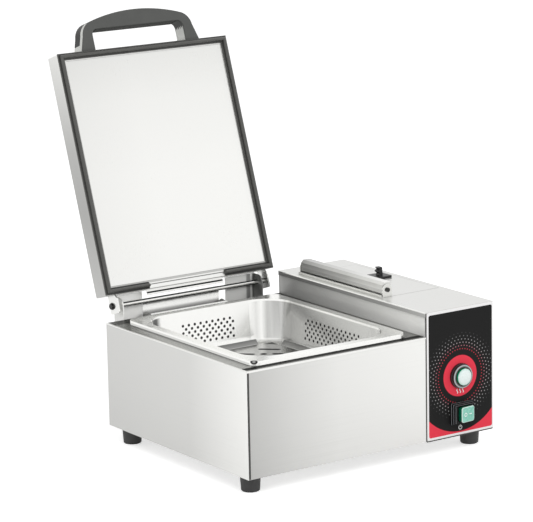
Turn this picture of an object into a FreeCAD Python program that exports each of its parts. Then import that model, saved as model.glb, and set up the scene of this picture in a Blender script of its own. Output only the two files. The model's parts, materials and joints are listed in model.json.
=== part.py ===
import FreeCAD, Part
import math
import os

# Countertop pan steamer: a well with a lift-out pan under a hinged lid, and a
# control housing with a water tank on its right. Lengths are millimetres.
# The pieces are drawn from the casing's front left bottom corner: x to the
# right, y to the back, z up. Each is moved at export to the part's own frame,
# whose origin lies on the table below the middle of the whole steamer.

V = FreeCAD.Vector

# Casing
housing_width = 122.0
deck_height = 154.0
housing_height = 189.0
foot_height = 24.0
sheet = 1.2
seam = 0.6
flange_width = 12.0
overrun = 1.0
screw_clearance = 0.1
running_clearance = 0.05
moving_gap = 0.4

# Feet
foot_top_radius = 14.8
foot_bottom_radius = 13.2
foot_edge = 1.2
foot_recess_radius = 5.0
foot_recess_depth = 12.0
foot_inset_x = 22.0
foot_inset_y = 28.0
foot_screw_radius = 2.5
foot_screw_head_radius = 4.5
foot_screw_head_height = 3.0
foot_nut_height = 4.0

# Pan of half gastronorm size
pan_width = 265.0
pan_length = 325.0
pan_depth = 65.0
pan_wall = 0.8
pan_flange_width = 12.5
pan_flange_height = 6.5
pan_flange_corner = 14.0
pan_mouth_corner = 46.0
pan_wall_slope = 4.0
pan_floor_radius = 11.0
pan_front_margin = 15.0
pan_back_margin = 22.0
pan_side_margin = 21.5
pan_seat_gap = 0.3
floor_hole_radius = 5.0
floor_hole_pitch = 36.0
floor_hole_columns = 5
floor_hole_rows = 7
hole_radius = 1.6
hole_pitch = 10.4
hole_row_step = 5.5
hole_rows = 6
back_hole_columns = 9
side_hole_columns = 13
hole_drop = 21.5
hole_sides = 6

# Slotted plate in the pan
plate_margin_x = 22.0
plate_margin_y = 24.0
plate_sheet = 1.0
plate_corner_cut = 24.0
plate_rim_rise = 7.5
plate_rim_out = 7.0
plate_seat_gap = 0.3
slot_width = 5.0
slot_length = 26.0
slot_angle = -42.0
slot_columns = 4
slot_column_pitch = 46.0
slot_rows = 6
slot_row_pitch = 36.0
drain_hole_radius = 4.0
notch_width = 12.0
notch_pitch = 24.0
notch_count = 3
notch_depth = 3.0

# Steam chamber, plate and heater
well_clearance = 5.0
well_corner = 40.0
well_depth = 92.0
well_flange_width = 8.0
deck_opening_clearance = 3.5
steam_plate_width = 190.0
steam_plate_length = 236.0
steam_plate_height = 12.0
steam_plate_corner = 20.0
groove_width = 6.0
groove_depth = 4.0
groove_pitch = 22.0
heater_tube_radius = 4.0
heater_run = 150.0
heater_leg_spacing = 90.0
heater_tail = 22.0
heater_legs = 2
shield_gap = 16.0
shield_width = 236.0
shield_length = 280.0
blanket_width = 144.0
blanket_length = 196.0
cutout_radius = 8.0
cutout_height = 8.0
cutout_spacing = 60.0
cutout_side_gap = 14.0

# Deck, hinge brackets and drip trough behind it
rod_setback = 14.0
rod_radius = 3.5
rim_forward = 12.0
gasket_height = 6.8
gasket_gap = 0.5
lid_edge_above_rod = 16.0
bracket_sheet = 2.0
bracket_outer_inset = 29.5
bracket_plate_width = 47.5
bracket_right_plate_width = 53.0
bracket_plate_behind_rod = 8.5
bracket_corner = 12.0
bracket_drop = 44.0
bracket_foot_width = 16.0
bracket_foot_height = 30.0
bracket_screw_radius = 2.0
bracket_screw_head_radius = 4.0
bracket_screw_head_height = 2.0
bracket_screw_length = 5.0
bracket_screw_spacing = 18.0
lid_stop_gap = 0.3
trough_sheet = 1.0
trough_front_drop = 2.0
trough_rise = 1.7
trough_depth = 8.0
trough_right_gap = 13.0

# Lid, leaning back at rest and drawn upright about the hinge rod
lid_lean = 18.8
lid_side_margin = 5.5
lid_overhang = 1.6
lid_depth = 29.0
lid_sheet = 1.0
lid_corner = 2.0
rim_width = 12.0
gasket_width = 10.2
gasket_base = 2.2
gasket_step_width = 6.2
gasket_step_height = 2.2
gasket_bead_width = 2.6
gasket_vent = 134.0
gasket_vent_shift = -5.5
insulation_gap = 8.0
channel_sheet = 1.2
channel_half_depth = 8.0
channel_lip_drop = 7.8
channel_lip_inset = 0.5
ear_inset = 14.5
ear_sheet = 2.0
ear_front = 17.5
ear_back = 8.0
ear_drop = 12.0
ear_shoulder = 9.0
ear_neck = 12.0
ear_corner = 3.0
pivot_screw_radius = 2.0
pivot_screw_head_radius = 4.0
pivot_screw_head_height = 2.2
pivot_washer_radius = 5.2
pivot_washer_thickness = 1.0
pivot_screw_depth = 10.0

# Handle on the lid's front edge
handle_half_base = 103.5
handle_half_shoulder = 96.0
handle_shoulder_height = 24.0
handle_turn_half = 91.5
handle_turn_height = 35.5
handle_arc_half = 80.0
handle_arc_height = 44.0
handle_top = 56.0
handle_opening_half = 79.8
handle_opening_height = 32.0
handle_opening_corner = 9.0
handle_depth = 26.0
handle_front_setback = 2.0
handle_cover = 3.0
band_from_front = 10.0
band_end_height = 11.0
band_thickness = 1.6
grip_rib_pitch = 5.0
grip_rib_depth = 2.2
grip_ribs = 4
handle_screw_radius = 2.5
handle_screw_head_radius = 4.5
handle_screw_head_height = 3.0
handle_screw_depth = 16.0
handle_screw_half_spacing = 91.0

# Control housing and its cover
cover_lip = 7.0
fascia_gap = 0.6
flap_side_margin = 9.0
flap_front = 116.0
flap_length = 202.5
flap_sheet_thickness = 1.0
flap_gap = 0.8
flap_seat_gap = 0.25
flap_ledge = 4.0

# Flap hinge
flap_rod_from_side = 18.5
flap_rod_height = 11.0
flap_rod_radius = 2.0
flap_channel_sheet = 1.5
flap_channel_half = 7.5
flap_channel_drop = 5.5
flap_channel_top = 11.0
flap_channel_bevel = 4.0
flap_channel_web = 3.0
hinge_base_sheet = 1.0
hinge_base_lip = 4.0
hinge_base_left = 11.0
hinge_base_right = 5.5
cheek_thickness = 1.6
cheek_radius = 8.5
cheek_gap = 0.5
flap_nut_radius = 3.2
flap_nut_height = 2.2
tab_width = 9.0
tab_base_size = 27.0
tab_base_height = 3.0
tab_height = 15.5
tab_root = 7.0
tab_tip = 6.0
tab_hook = 2.6
tab_from_right = 23.0
tab_behind_middle = 11.3

# Water tank and feed
tank_wall = 1.5
tank_above_nozzle = 21.0
tank_inset = 3.0
tank_rim_height = 1.5
tank_rim_out = 6.0
outlet_radius = 5.0
outlet_length = 10.0
outlet_bore = 3.5
strainer_radius = 12.0
strainer_height = 16.0
strainer_wall = 0.8
strainer_slots = 8
strainer_slot_width = 2.0
pump_width = 34.0
pump_length = 46.0
pump_height = 32.0
pump_end_radius = 9.0
pump_end_length = 12.0
pump_bracket_sheet = 1.5
pump_bracket_height = 10.0
hose_radius = 5.0
hose_bore = 3.2
hose_bend = 18.0
nozzle_radius = 4.0
nozzle_bore = 3.0
nozzle_above_plate = 10.0
nozzle_reach = 70.0
pump_back_offset = 30.0
feed_inset = 6.0

# Electrical pieces in the housing
block_length = 44.0
block_width = 20.0
block_height = 16.0
block_terminals = 4
block_from_front = 40.0
terminal_radius = 2.4
board_length = 70.0
board_height = 48.0
board_thickness = 1.6
board_standoff = 8.0
standoff_radius = 3.0
standoff_inset = 6.0
relay_length = 20.0
relay_height = 16.0
relay_depth = 14.0
board_from_front = 60.0
board_above_tray = 22.0
capacitor_radius = 6.0
capacitor_height = 14.0
gland_radius = 9.0
gland_bore = 4.2
gland_collar_radius = 12.0
gland_collar_height = 5.0
gland_body_length = 16.0
gland_from_right = 28.0
gland_above_base = 28.0
vent_width = 50.0
vent_slot_height = 4.0
vent_pitch = 10.0
vent_count = 6
vent_above_base = 80.0

# Front panel controls
overlay_thickness = 0.4
overlay_margin = 0.6
overlay_corner = 3.0
button_height = 88.0
bezel_radius = 18.5
bezel_depth = 4.0
ring_radius = 17.0
ring_depth = 8.0
cap_radius = 12.4
cap_length = 14.0
cap_dome = 3.0
button_travel = 3.0
stem_radius = 4.0
barrel_radius = 14.0
barrel_length = 24.0
contact_size = 22.0
contact_depth = 16.0
spring_radius = 6.5
spring_wire = 0.8
switch_height = 34.2
switch_width = 38.0
switch_tall = 31.0
switch_flange_depth = 4.5
switch_step = 2.4
switch_step_depth = 3.7
rocker_width = 24.5
rocker_tall = 22.5
rocker_gap = 0.6
rocker_depth = 8.0
rocker_proud = 5.5
rocker_tilt = 6.0
rocker_vee = 1.5
switch_wall = 2.0
switch_body_depth = 20.0
switch_body_margin = 4.0
rocker_pin_radius = 1.5
overlay_hole_clearance = 0.2

# Casing screws
screw_head_radius = 3.2
screw_head_height = 1.6
screw_shank_radius = 1.5
screw_length = 5.0
screw_inset = 14.0
screw_rows = 2

# Places worked out from the sizes above
body_width = pan_width + 2 * pan_side_margin
casing_depth = pan_front_margin + pan_length + pan_back_margin
overall_width = body_width + housing_width
inner_left = sheet
inner_right = overall_width - sheet
inner_back = casing_depth - sheet
deck_under = deck_height - sheet
cover_under = housing_height - sheet
pan_mid_x = body_width / 2
pan_mid_y = pan_front_margin + pan_length / 2
pan_top = deck_height + pan_flange_height
pan_floor = pan_top - pan_depth
mouth_width = pan_width - 2 * pan_flange_width
mouth_length = pan_length - 2 * pan_flange_width
opening_width = mouth_width + 2 * deck_opening_clearance
opening_length = mouth_length + 2 * deck_opening_clearance
well_width = opening_width + 2 * well_clearance
well_length = opening_length + 2 * well_clearance
well_floor = deck_under - well_depth
steam_plate_top = well_floor + steam_plate_height
shield_top = well_floor - sheet - shield_gap
rod_y = casing_depth + rod_setback
rod_z = deck_height + gasket_gap + gasket_height + rim_forward
lid_length = rod_y - lid_edge_above_rod + lid_overhang
lid_left = lid_side_margin
lid_right = body_width - lid_side_margin
lid_top = lid_edge_above_rod + lid_length
lid_back = lid_depth - rim_forward
ear_left = lid_left + ear_inset
ear_right = lid_right - ear_inset
flap_rod_x = body_width + flap_rod_from_side
flap_rod_z = housing_height + flap_rod_height
flap_right = overall_width - flap_side_margin
flap_back = flap_front + flap_length
flap_left = flap_rod_x + flap_channel_half
hole_left = flap_left - flap_gap
fascia_mid = body_width + housing_width / 2
hinge_base_front = flap_front - cheek_thickness - cheek_gap
hinge_base_back = flap_back + cheek_thickness + cheek_gap
tank_top = cover_under
tank_left = flap_left + flap_ledge + tank_inset
tank_right = flap_right - flap_ledge - tank_inset
tank_front = flap_front + flap_ledge + tank_inset
tank_back = flap_back - flap_ledge - tank_inset
outlet_x = (tank_left + tank_right) / 2
outlet_y = (tank_front + tank_back) / 2 + pump_back_offset
pump_floor = sheet + pump_bracket_height
pump_top = pump_floor + pump_height
nozzle_z = steam_plate_top + nozzle_above_plate
tank_floor = nozzle_z + tank_above_nozzle
feed_x = outlet_x - pump_width / 2 + feed_inset
feed_y = outlet_y - pump_length / 2 + feed_inset
front_reach = -(overlay_thickness + switch_flange_depth + 2 * switch_step_depth + rocker_proud)
trough_left = bracket_outer_inset + bracket_plate_width
trough_right = body_width - bracket_outer_inset - bracket_right_plate_width - trough_right_gap
lean_sine = math.sin(math.radians(lid_lean))
lean_cosine = math.cos(math.radians(lid_lean))
overall_back = rod_y + (lid_top + handle_top) * lean_sine + (lid_back - handle_front_setback) * lean_cosine
frame_shift = V(-overall_width / 2, -(front_reach + overall_back) / 2, foot_height)


# Basic shapes

def block(x0, x1, y0, y1, z0, z1):
    return Part.makeBox(x1 - x0, y1 - y0, z1 - z0, V(x0, y0, z0))


def round_x(x0, x1, y, z, radius):
    return Part.makeCylinder(radius, x1 - x0, V(x0, y, z), V(1, 0, 0))


def round_y(y0, y1, x, z, radius):
    return Part.makeCylinder(radius, y1 - y0, V(x, y0, z), V(0, 1, 0))


def round_z(z0, z1, x, y, radius):
    return Part.makeCylinder(radius, z1 - z0, V(x, y, z0), V(0, 0, 1))


def joined(shapes):
    whole = shapes[0]
    for other in shapes[1:]:
        whole = whole.fuse(other)
    return whole.removeSplitter()


def rounded_outline(mid_x, mid_y, width, length, corner, z):
    """Closed wire of a rectangle with four round corners, lying level."""
    half_w = width / 2
    half_l = length / 2
    corner_cos = corner * math.cos(math.pi / 4)
    edges = []
    for turn in range(4):
        along_x = (half_w, half_l, half_w, half_l)[turn]
        along_y = (half_l, half_w, half_l, half_w)[turn]
        start = V(along_x, -(along_y - corner), 0)
        stop = V(along_x, along_y - corner, 0)
        centre = V(along_x - corner, along_y - corner, 0)
        middle = centre + V(corner_cos, corner_cos, 0)
        finish = centre + V(0, corner, 0)
        line = Part.makeLine(start, stop)
        arc = Part.Arc(stop, middle, finish).toShape()
        for edge in (line, arc):
            edge.rotate(V(0, 0, 0), V(0, 0, 1), turn * 90)
            edges.append(edge)
    wire = Part.Wire(Part.__sortEdges__(edges))
    wire.translate(V(mid_x, mid_y, z))
    return wire


def rounded_block(mid_x, mid_y, width, length, corner, z0, z1):
    face = Part.Face(rounded_outline(mid_x, mid_y, width, length, corner, z0))
    return face.extrude(V(0, 0, z1 - z0))


def outline_y(points, y0, y1):
    """Solid of a closed outline of (x, z) points, carried along y."""
    corners = [V(x, y0, z) for x, z in points]
    face = Part.Face(Part.makePolygon(corners + corners[:1]))
    return face.extrude(V(0, y1 - y0, 0))


def outline_x(points, x0, x1):
    """Solid of a closed outline of (y, z) points, carried along x."""
    corners = [V(x0, y, z) for y, z in points]
    face = Part.Face(Part.makePolygon(corners + corners[:1]))
    return face.extrude(V(x1 - x0, 0, 0))


def turned(section):
    """Solid of a closed outline of (radius, z) points, turned about the z axis."""
    corners = [V(radius, 0, z) for radius, z in section]
    face = Part.Face(Part.makePolygon(corners + corners[:1]))
    return face.revolve(V(0, 0, 0), V(0, 0, 1), 360)


def tube_along(path, radius, start, direction):
    """Round bar whose section is carried along a path of lines and arcs."""
    disc = Part.Face(Part.Wire(Part.makeCircle(radius, start, direction)))
    return path.makePipe(disc)


def mirrored_x(shape, plane_x):
    return shape.mirror(V(plane_x, 0, 0), V(1, 0, 0))


def leaned(shape):
    """Take a lid piece, drawn upright about the hinge rod, to its open rest."""
    copy = shape.copy()
    copy.rotate(V(0, 0, 0), V(1, 0, 0), -lid_lean)
    copy.translate(V(0, rod_y, rod_z))
    return copy


# Casing panels

def base_tray():
    floor = block(inner_left, inner_right, sheet, inner_back, 0, sheet)
    outer = block(inner_left, inner_right, sheet, inner_back, sheet, flange_width)
    inner = block(inner_left + sheet, inner_right - sheet, 2 * sheet, inner_back - sheet,
                  sheet, flange_width)
    tray = floor.fuse(outer.cut(inner)).removeSplitter()
    for x, y in foot_places():
        tray = tray.cut(round_z(-overrun, sheet + overrun, x, y, foot_screw_radius + screw_clearance))
    return tray


def foot_places():
    places = []
    for x in (foot_inset_x, overall_width - foot_inset_x):
        for y in (foot_inset_y, casing_depth - foot_inset_y):
            places.append((x, y))
    return places


def feet():
    """Tapered rubber feet, each turned from one half section with a screw recess."""
    bore = foot_screw_radius + screw_clearance
    low = -foot_height
    section = [(foot_recess_radius, low), (foot_bottom_radius - foot_edge, low),
               (foot_bottom_radius, low + foot_edge), (foot_top_radius, 0), (bore, 0),
               (bore, low + foot_recess_depth), (foot_recess_radius, low + foot_recess_depth)]
    foot = turned(section)
    group = []
    for x, y in foot_places():
        group.append(foot.translated(V(x, y, 0)))
    return Part.makeCompound(group)


def foot_screws():
    seat = foot_recess_depth - foot_height
    group = []
    for x, y in foot_places():
        head = round_z(seat - foot_screw_head_height, seat, x, y, foot_screw_head_radius)
        shank = round_z(seat, sheet + foot_nut_height, x, y, foot_screw_radius)
        nut = round_z(sheet, sheet + foot_nut_height, x, y, foot_screw_head_radius)
        group.append(joined([head, shank, nut]))
    return Part.makeCompound(group)


def left_side_panel():
    wall = block(0, sheet, 0, casing_depth, 0, deck_under)
    turn = block(sheet, flange_width, sheet + seam, 2 * sheet + seam, flange_width, deck_under)
    corner = block(0, sheet, 0, sheet + seam, 0, deck_under)
    return joined([wall, turn.cut(corner)])


def front_panel():
    wall = block(sheet + seam, body_width, 0, sheet, 0, deck_under)
    foot_turn = block(flange_width + seam, body_width, sheet, flange_width,
                      flange_width, flange_width + sheet)
    return joined([wall, foot_turn])


def rear_panel():
    low = block(sheet, overall_width - sheet, inner_back, casing_depth, 0, deck_under)
    high = block(body_width, overall_width - sheet, inner_back, casing_depth, deck_under, cover_under)
    panel = low.fuse(high).removeSplitter()
    gland_x = overall_width - gland_from_right
    panel = panel.cut(round_y(inner_back - overrun, casing_depth + overrun,
                              gland_x, gland_above_base, gland_radius + screw_clearance))
    for row in range(vent_count):
        z = vent_above_base + row * vent_pitch
        panel = panel.cut(block(fascia_mid - vent_width / 2, fascia_mid + vent_width / 2,
                                inner_back - overrun, casing_depth + overrun, z, z + vent_slot_height))
    for place in bracket_screw_places():
        panel = panel.cut(round_y(inner_back - overrun, casing_depth + overrun,
                                  place[0], place[1], bracket_screw_radius + screw_clearance))
    return panel


def right_side_panel():
    wall = block(inner_right, overall_width, 0, casing_depth, 0, cover_under)
    for y, z in side_screw_places():
        wall = wall.cut(round_x(inner_right - overrun, overall_width + overrun, y, z,
                                screw_shank_radius + screw_clearance))
    return wall


def deck():
    """Top sheet of the body with the pan opening and a turned-down rear edge."""
    plate = block(0, body_width, 0, casing_depth, deck_under, deck_height)
    hole = rounded_block(pan_mid_x, pan_mid_y, opening_width, opening_length, pan_mouth_corner,
                         deck_under - overrun, deck_height + overrun)
    return plate.cut(hole)


def housing_inner_wall():
    wall = block(body_width, body_width + sheet, 2 * sheet, inner_back - sheet, sheet, cover_under)
    pipe = round_x(body_width - overrun, body_width + sheet + overrun, feed_y, nozzle_z,
                   nozzle_radius + screw_clearance)
    foot_turn = block(body_width + sheet, body_width + flange_width, sheet + flange_width,
                      inner_back - flange_width, sheet, 2 * sheet)
    return joined([wall.cut(pipe), foot_turn])


def housing_top_cover():
    """Cover with a lip folded down over the inner wall and the tank opening."""
    plate = block(body_width - sheet, overall_width, 0, casing_depth, cover_under, housing_height)
    lip = block(body_width - sheet, body_width, 0, casing_depth, housing_height - cover_lip, cover_under)
    hole = block(hole_left, flap_right + flap_gap, flap_front - flap_gap, flap_back + flap_gap,
                 cover_under - overrun, housing_height + overrun)
    return joined([plate, lip]).cut(hole)


def control_fascia():
    plate = block(body_width + fascia_gap, inner_right, 0, sheet, 0, cover_under)
    plate = plate.cut(round_y(-overrun, sheet + overrun, fascia_mid, button_height,
                              barrel_radius + screw_clearance))
    half = switch_width / 2 - switch_body_margin + screw_clearance
    tall = switch_tall / 2 - switch_body_margin + screw_clearance
    return plate.cut(block(fascia_mid - half, fascia_mid + half, -overrun, sheet + overrun,
                           switch_height - tall, switch_height + tall))


def control_overlay():
    """Thin printed sheet stuck on the fascia, with openings for the two controls."""
    width = housing_width - fascia_gap - 2 * overlay_margin
    height = housing_height - 2 * overlay_margin
    mid_x = (body_width + fascia_gap + overall_width) / 2
    sheet_face = Part.Face(rounded_outline(0, 0, width, height, overlay_corner, 0))
    overlay = sheet_face.extrude(V(0, 0, overlay_thickness))
    overlay.rotate(V(0, 0, 0), V(1, 0, 0), 90)
    overlay.translate(V(mid_x, 0, housing_height / 2))
    overlay = overlay.cut(round_y(-overlay_thickness - overrun, overrun, fascia_mid, button_height,
                                  barrel_radius + overlay_hole_clearance))
    half = switch_width / 2 - switch_body_margin + overlay_hole_clearance
    tall = switch_tall / 2 - switch_body_margin + overlay_hole_clearance
    return overlay.cut(block(fascia_mid - half, fascia_mid + half, -overlay_thickness - overrun, overrun,
                             switch_height - tall, switch_height + tall))


def side_screw_places():
    places = []
    for y in (screw_inset, casing_depth - screw_inset):
        for row in range(screw_rows):
            rise = (cover_under - 2 * screw_inset) / (screw_rows - 1)
            places.append((y, screw_inset + row * rise))
    return places


def casing_screws():
    group = []
    for y, z in side_screw_places():
        head = round_x(overall_width, overall_width + screw_head_height, y, z, screw_head_radius)
        shank = round_x(overall_width - screw_length, overall_width, y, z, screw_shank_radius)
        group.append(joined([head, shank]))
    return Part.makeCompound(group)


# Steam chamber below the pan

def well_liner():
    """Deep drawn chamber hung under the deck, open at the top."""
    outer = rounded_block(pan_mid_x, pan_mid_y, well_width + 2 * sheet, well_length + 2 * sheet,
                          well_corner + sheet, well_floor - sheet, deck_under)
    inner = rounded_block(pan_mid_x, pan_mid_y, well_width, well_length, well_corner,
                          well_floor, deck_under + overrun)
    flange = rounded_block(pan_mid_x, pan_mid_y, well_width + 2 * well_flange_width,
                           well_length + 2 * well_flange_width, well_corner + well_flange_width,
                           deck_under - sheet, deck_under)
    liner = joined([outer, flange]).cut(inner)
    pipe = round_x(pan_mid_x, body_width, feed_y, nozzle_z, nozzle_radius + screw_clearance)
    return liner.cut(pipe)


def steam_plate():
    """Cast plate that flashes the water to steam, with cross grooves to spread it."""
    plate = rounded_block(pan_mid_x, pan_mid_y, steam_plate_width, steam_plate_length,
                          steam_plate_corner, well_floor, steam_plate_top)
    grooves = int(steam_plate_length / groove_pitch) - 1
    for index in range(grooves):
        y = pan_mid_y + (index - (grooves - 1) / 2) * groove_pitch
        plate = plate.cut(block(pan_mid_x - steam_plate_width / 2 + steam_plate_corner,
                                pan_mid_x + steam_plate_width / 2 - steam_plate_corner,
                                y - groove_width / 2, y + groove_width / 2,
                                steam_plate_top - groove_depth, steam_plate_top + overrun))
    return plate


def heating_element():
    """Sheathed heater bent back on itself under the chamber floor."""
    z = well_floor - sheet - heater_tube_radius
    front = pan_mid_y - heater_run / 2
    back = pan_mid_y + heater_run / 2
    bend = heater_leg_spacing / 2
    edges = []
    for leg in range(heater_legs):
        x = pan_mid_x + (leg - (heater_legs - 1) / 2) * heater_leg_spacing
        ends = (V(x, front, z), V(x, back, z))
        if leg in (0, heater_legs - 1):
            ends = (V(x, front - heater_tail, z), V(x, back, z))
        rising = leg % 2 == 0
        edges.append(Part.makeLine(ends[0], ends[1]) if rising else Part.makeLine(ends[1], ends[0]))
        if leg < heater_legs - 1:
            y = back if rising else front
            out = bend if rising else -bend
            arc = Part.Arc(V(x, y, z), V(x + bend, y + out, z), V(x + 2 * bend, y, z))
            edges.append(arc.toShape())
    path = Part.Wire(edges)
    start = V(pan_mid_x - (heater_legs - 1) / 2 * heater_leg_spacing, front - heater_tail, z)
    return tube_along(path, heater_tube_radius, start, V(0, 1, 0))


def heat_shield():
    """Folded sheet standing on the tray that carries the blanket and the heater."""
    left = pan_mid_x - shield_width / 2
    right = pan_mid_x + shield_width / 2
    front = pan_mid_y - shield_length / 2
    back = pan_mid_y + shield_length / 2
    top = block(left, right, front, back, shield_top - sheet, shield_top)
    leg_left = block(left, left + sheet, front, back, sheet, shield_top - sheet)
    leg_right = block(right - sheet, right, front, back, sheet, shield_top - sheet)
    return joined([top, leg_left, leg_right])


def heater_blanket():
    low = shield_top
    high = well_floor - sheet - 2 * heater_tube_radius
    return rounded_block(pan_mid_x, pan_mid_y, blanket_width, blanket_length, steam_plate_corner, low, high)


def disc_switch(y):
    """Round snap disc switch pressed against the chamber floor beside the heater."""
    x = pan_mid_x + steam_plate_width / 2 - cutout_side_gap
    high = well_floor - sheet
    can = round_z(high - cutout_height, high, x, y, cutout_radius)
    blade = block(x - cutout_radius / 2, x + cutout_radius / 2, y - sheet / 2, y + sheet / 2,
                  high - cutout_height - sheet, high - cutout_height)
    return joined([can, blade])


def thermostat():
    return disc_switch(pan_mid_y - cutout_spacing / 2)


def safety_cutout():
    return disc_switch(pan_mid_y + cutout_spacing / 2)


# Pan and slotted plate

def pan_body(grow):
    """Tapered tub: a cone at each corner, two crossing prisms between, a rounded floor edge."""
    depth = pan_depth - (pan_wall if grow == 0 else 0)
    low = pan_top - depth
    draw_in = depth * math.tan(math.radians(pan_wall_slope))
    corner = pan_mouth_corner + grow
    half_w = mouth_width / 2 + grow
    half_l = mouth_length / 2 + grow
    along_x = outline_x([(-half_l, pan_top), (half_l, pan_top), (half_l - draw_in, low),
                         (draw_in - half_l, low)],
                        corner - half_w, half_w - corner)
    along_y = outline_y([(-half_w, pan_top), (half_w, pan_top), (half_w - draw_in, low),
                         (draw_in - half_w, low)],
                        corner - half_l, half_l - corner)
    solids = [along_x, along_y]
    for side_x in (-1, 1):
        for side_y in (-1, 1):
            centre = V(side_x * (half_w - corner), side_y * (half_l - corner), low)
            solids.append(Part.makeCone(corner - draw_in, corner, depth, centre))
    tub = joined(solids)
    floor_edges = [edge for edge in tub.Edges if abs(edge.BoundBox.ZMax - low) < running_clearance]
    tub = tub.makeFillet(pan_floor_radius + grow, floor_edges)
    return tub.translated(V(pan_mid_x, pan_mid_y, 0))


def hole_tool(radius, length):
    """Six-sided punch, its length along z."""
    corners = []
    for side in range(hole_sides):
        angle = 2 * math.pi * (side + 0.5) / hole_sides
        corners.append(V(radius * math.cos(angle), radius * math.sin(angle), 0))
    face = Part.Face(Part.makePolygon(corners + corners[:1]))
    return face.extrude(V(0, 0, length))


def wall_holes(columns, along_x):
    """Staggered rows of punched holes through two facing walls, as one group of tools."""
    half_way = (mouth_width if not along_x else mouth_length) / 2 + pan_flange_width
    punch = hole_tool(hole_radius, 2 * half_way)
    if along_x:
        punch.rotate(V(0, 0, 0), V(1, 0, 0), 90)
        punch.translate(V(0, half_way, 0))
    else:
        punch.rotate(V(0, 0, 0), V(0, 1, 0), 90)
        punch.translate(V(-half_way, 0, 0))
    group = []
    for row in range(hole_rows):
        shift = hole_pitch / 2 if row % 2 else 0
        for column in range(columns):
            offset = (column - (columns - 1) / 2) * hole_pitch + shift - hole_pitch / 4
            z = pan_top - hole_drop - row * hole_row_step
            place = V(pan_mid_x + offset, pan_mid_y, z) if along_x else V(pan_mid_x, pan_mid_y + offset, z)
            group.append(punch.translated(place))
    return Part.makeCompound(group)


def floor_holes():
    """Square grid of punched holes that lets the steam up through the pan's floor."""
    punch = hole_tool(floor_hole_radius, 2 * overrun + pan_wall)
    group = []
    for column in range(floor_hole_columns):
        x = pan_mid_x + (column - (floor_hole_columns - 1) / 2) * floor_hole_pitch
        for row in range(floor_hole_rows):
            y = pan_mid_y + (row - (floor_hole_rows - 1) / 2) * floor_hole_pitch
            group.append(punch.translated(V(x, y, pan_floor - overrun)))
    return Part.makeCompound(group)


def steam_pan():
    """Half-size pan: flat flange with a folded rim, tapered walls and rows of holes."""
    flange = rounded_block(pan_mid_x, pan_mid_y, pan_width, pan_length, pan_flange_corner,
                           pan_top - pan_wall, pan_top)
    rim_low = deck_height + pan_seat_gap
    rim = rounded_block(pan_mid_x, pan_mid_y, pan_width, pan_length, pan_flange_corner,
                        rim_low, pan_top - pan_wall)
    rim_inner = rounded_block(pan_mid_x, pan_mid_y, pan_width - 2 * pan_wall, pan_length - 2 * pan_wall,
                              pan_flange_corner - pan_wall, rim_low - overrun, pan_top)
    pan = joined([flange, rim.cut(rim_inner), pan_body(pan_wall)]).cut(pan_body(0))
    pan = pan.cut(floor_holes())
    pan = pan.cut(wall_holes(back_hole_columns, True))
    return pan.cut(wall_holes(side_hole_columns, False))


def plate_outline(width, length, cut, z):
    """Closed wire of a rectangle with its four corners cut off straight."""
    half_w = width / 2
    half_l = length / 2
    corners = []
    for sx, sy, first_x in ((1, -1, True), (1, 1, False), (-1, 1, True), (-1, -1, False)):
        on_x = V(pan_mid_x + sx * (half_w - cut), pan_mid_y + sy * half_l, z)
        on_y = V(pan_mid_x + sx * half_w, pan_mid_y + sy * (half_l - cut), z)
        corners += [on_x, on_y] if first_x else [on_y, on_x]
    return Part.makePolygon(corners + corners[:1])


def plate_slots(z):
    """Slanted slots in rows and columns, with round holes between them."""
    bar = block(-slot_length / 2, slot_length / 2, -slot_width / 2, slot_width / 2,
                -overrun, plate_sheet + overrun)
    end = hole_tool(slot_width / 2 / math.cos(math.pi / hole_sides), plate_sheet + 2 * overrun)
    ends = [end.translated(V(side * slot_length / 2, 0, -overrun)) for side in (-1, 1)]
    slot = joined([bar] + ends)
    slot.rotate(V(0, 0, 0), V(0, 0, 1), slot_angle)
    group = []
    for column in range(slot_columns):
        x = pan_mid_x + (column - (slot_columns - 1) / 2) * slot_column_pitch
        for row in range(slot_rows):
            y = pan_mid_y + (row - (slot_rows - 1) / 2) * slot_row_pitch
            group.append(slot.translated(V(x, y, z)))
            if column and row:
                hole = hole_tool(drain_hole_radius, plate_sheet + 2 * overrun)
                place = V(x - slot_column_pitch / 2, y - slot_row_pitch / 2, z - overrun)
                group.append(hole.translated(place))
    return Part.makeCompound(group)


def slotted_plate():
    """Loose plate on the pan's floor with a slanted rim, notched along its long sides."""
    low = pan_floor + pan_wall + plate_seat_gap
    width = mouth_width - 2 * plate_margin_x
    length = mouth_length - 2 * plate_margin_y
    floor = Part.Face(plate_outline(width, length, plate_corner_cut, low)).extrude(V(0, 0, plate_sheet))
    outer = Part.makeLoft([plate_outline(width, length, plate_corner_cut, low),
                           plate_outline(width + 2 * plate_rim_out, length + 2 * plate_rim_out,
                                         plate_corner_cut, low + plate_rim_rise)], True, True)
    shrink = 2 * plate_sheet
    inner = Part.makeLoft([plate_outline(width - shrink, length - shrink, plate_corner_cut, low),
                           plate_outline(width + 2 * plate_rim_out - shrink,
                                         length + 2 * plate_rim_out - shrink,
                                         plate_corner_cut, low + plate_rim_rise)], True, True)
    rim = outer.cut(inner)
    reach = width / 2 + plate_rim_out + overrun
    half_side = length / 2 - plate_corner_cut
    for sy in (-1, 1):
        rim = rim.cut(corner_gap(reach, sy * half_side, sy, low))
    plate = joined([floor, rim]).cut(plate_slots(low))
    notch_low = low + plate_rim_rise - notch_depth
    for index in range(notch_count):
        y = pan_mid_y + (index - (notch_count - 1) / 2) * notch_pitch
        plate = plate.cut(block(pan_mid_x - reach, pan_mid_x + reach, y - notch_width / 2,
                                y + notch_width / 2, notch_low, low + plate_rim_rise + overrun))
    return plate


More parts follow.
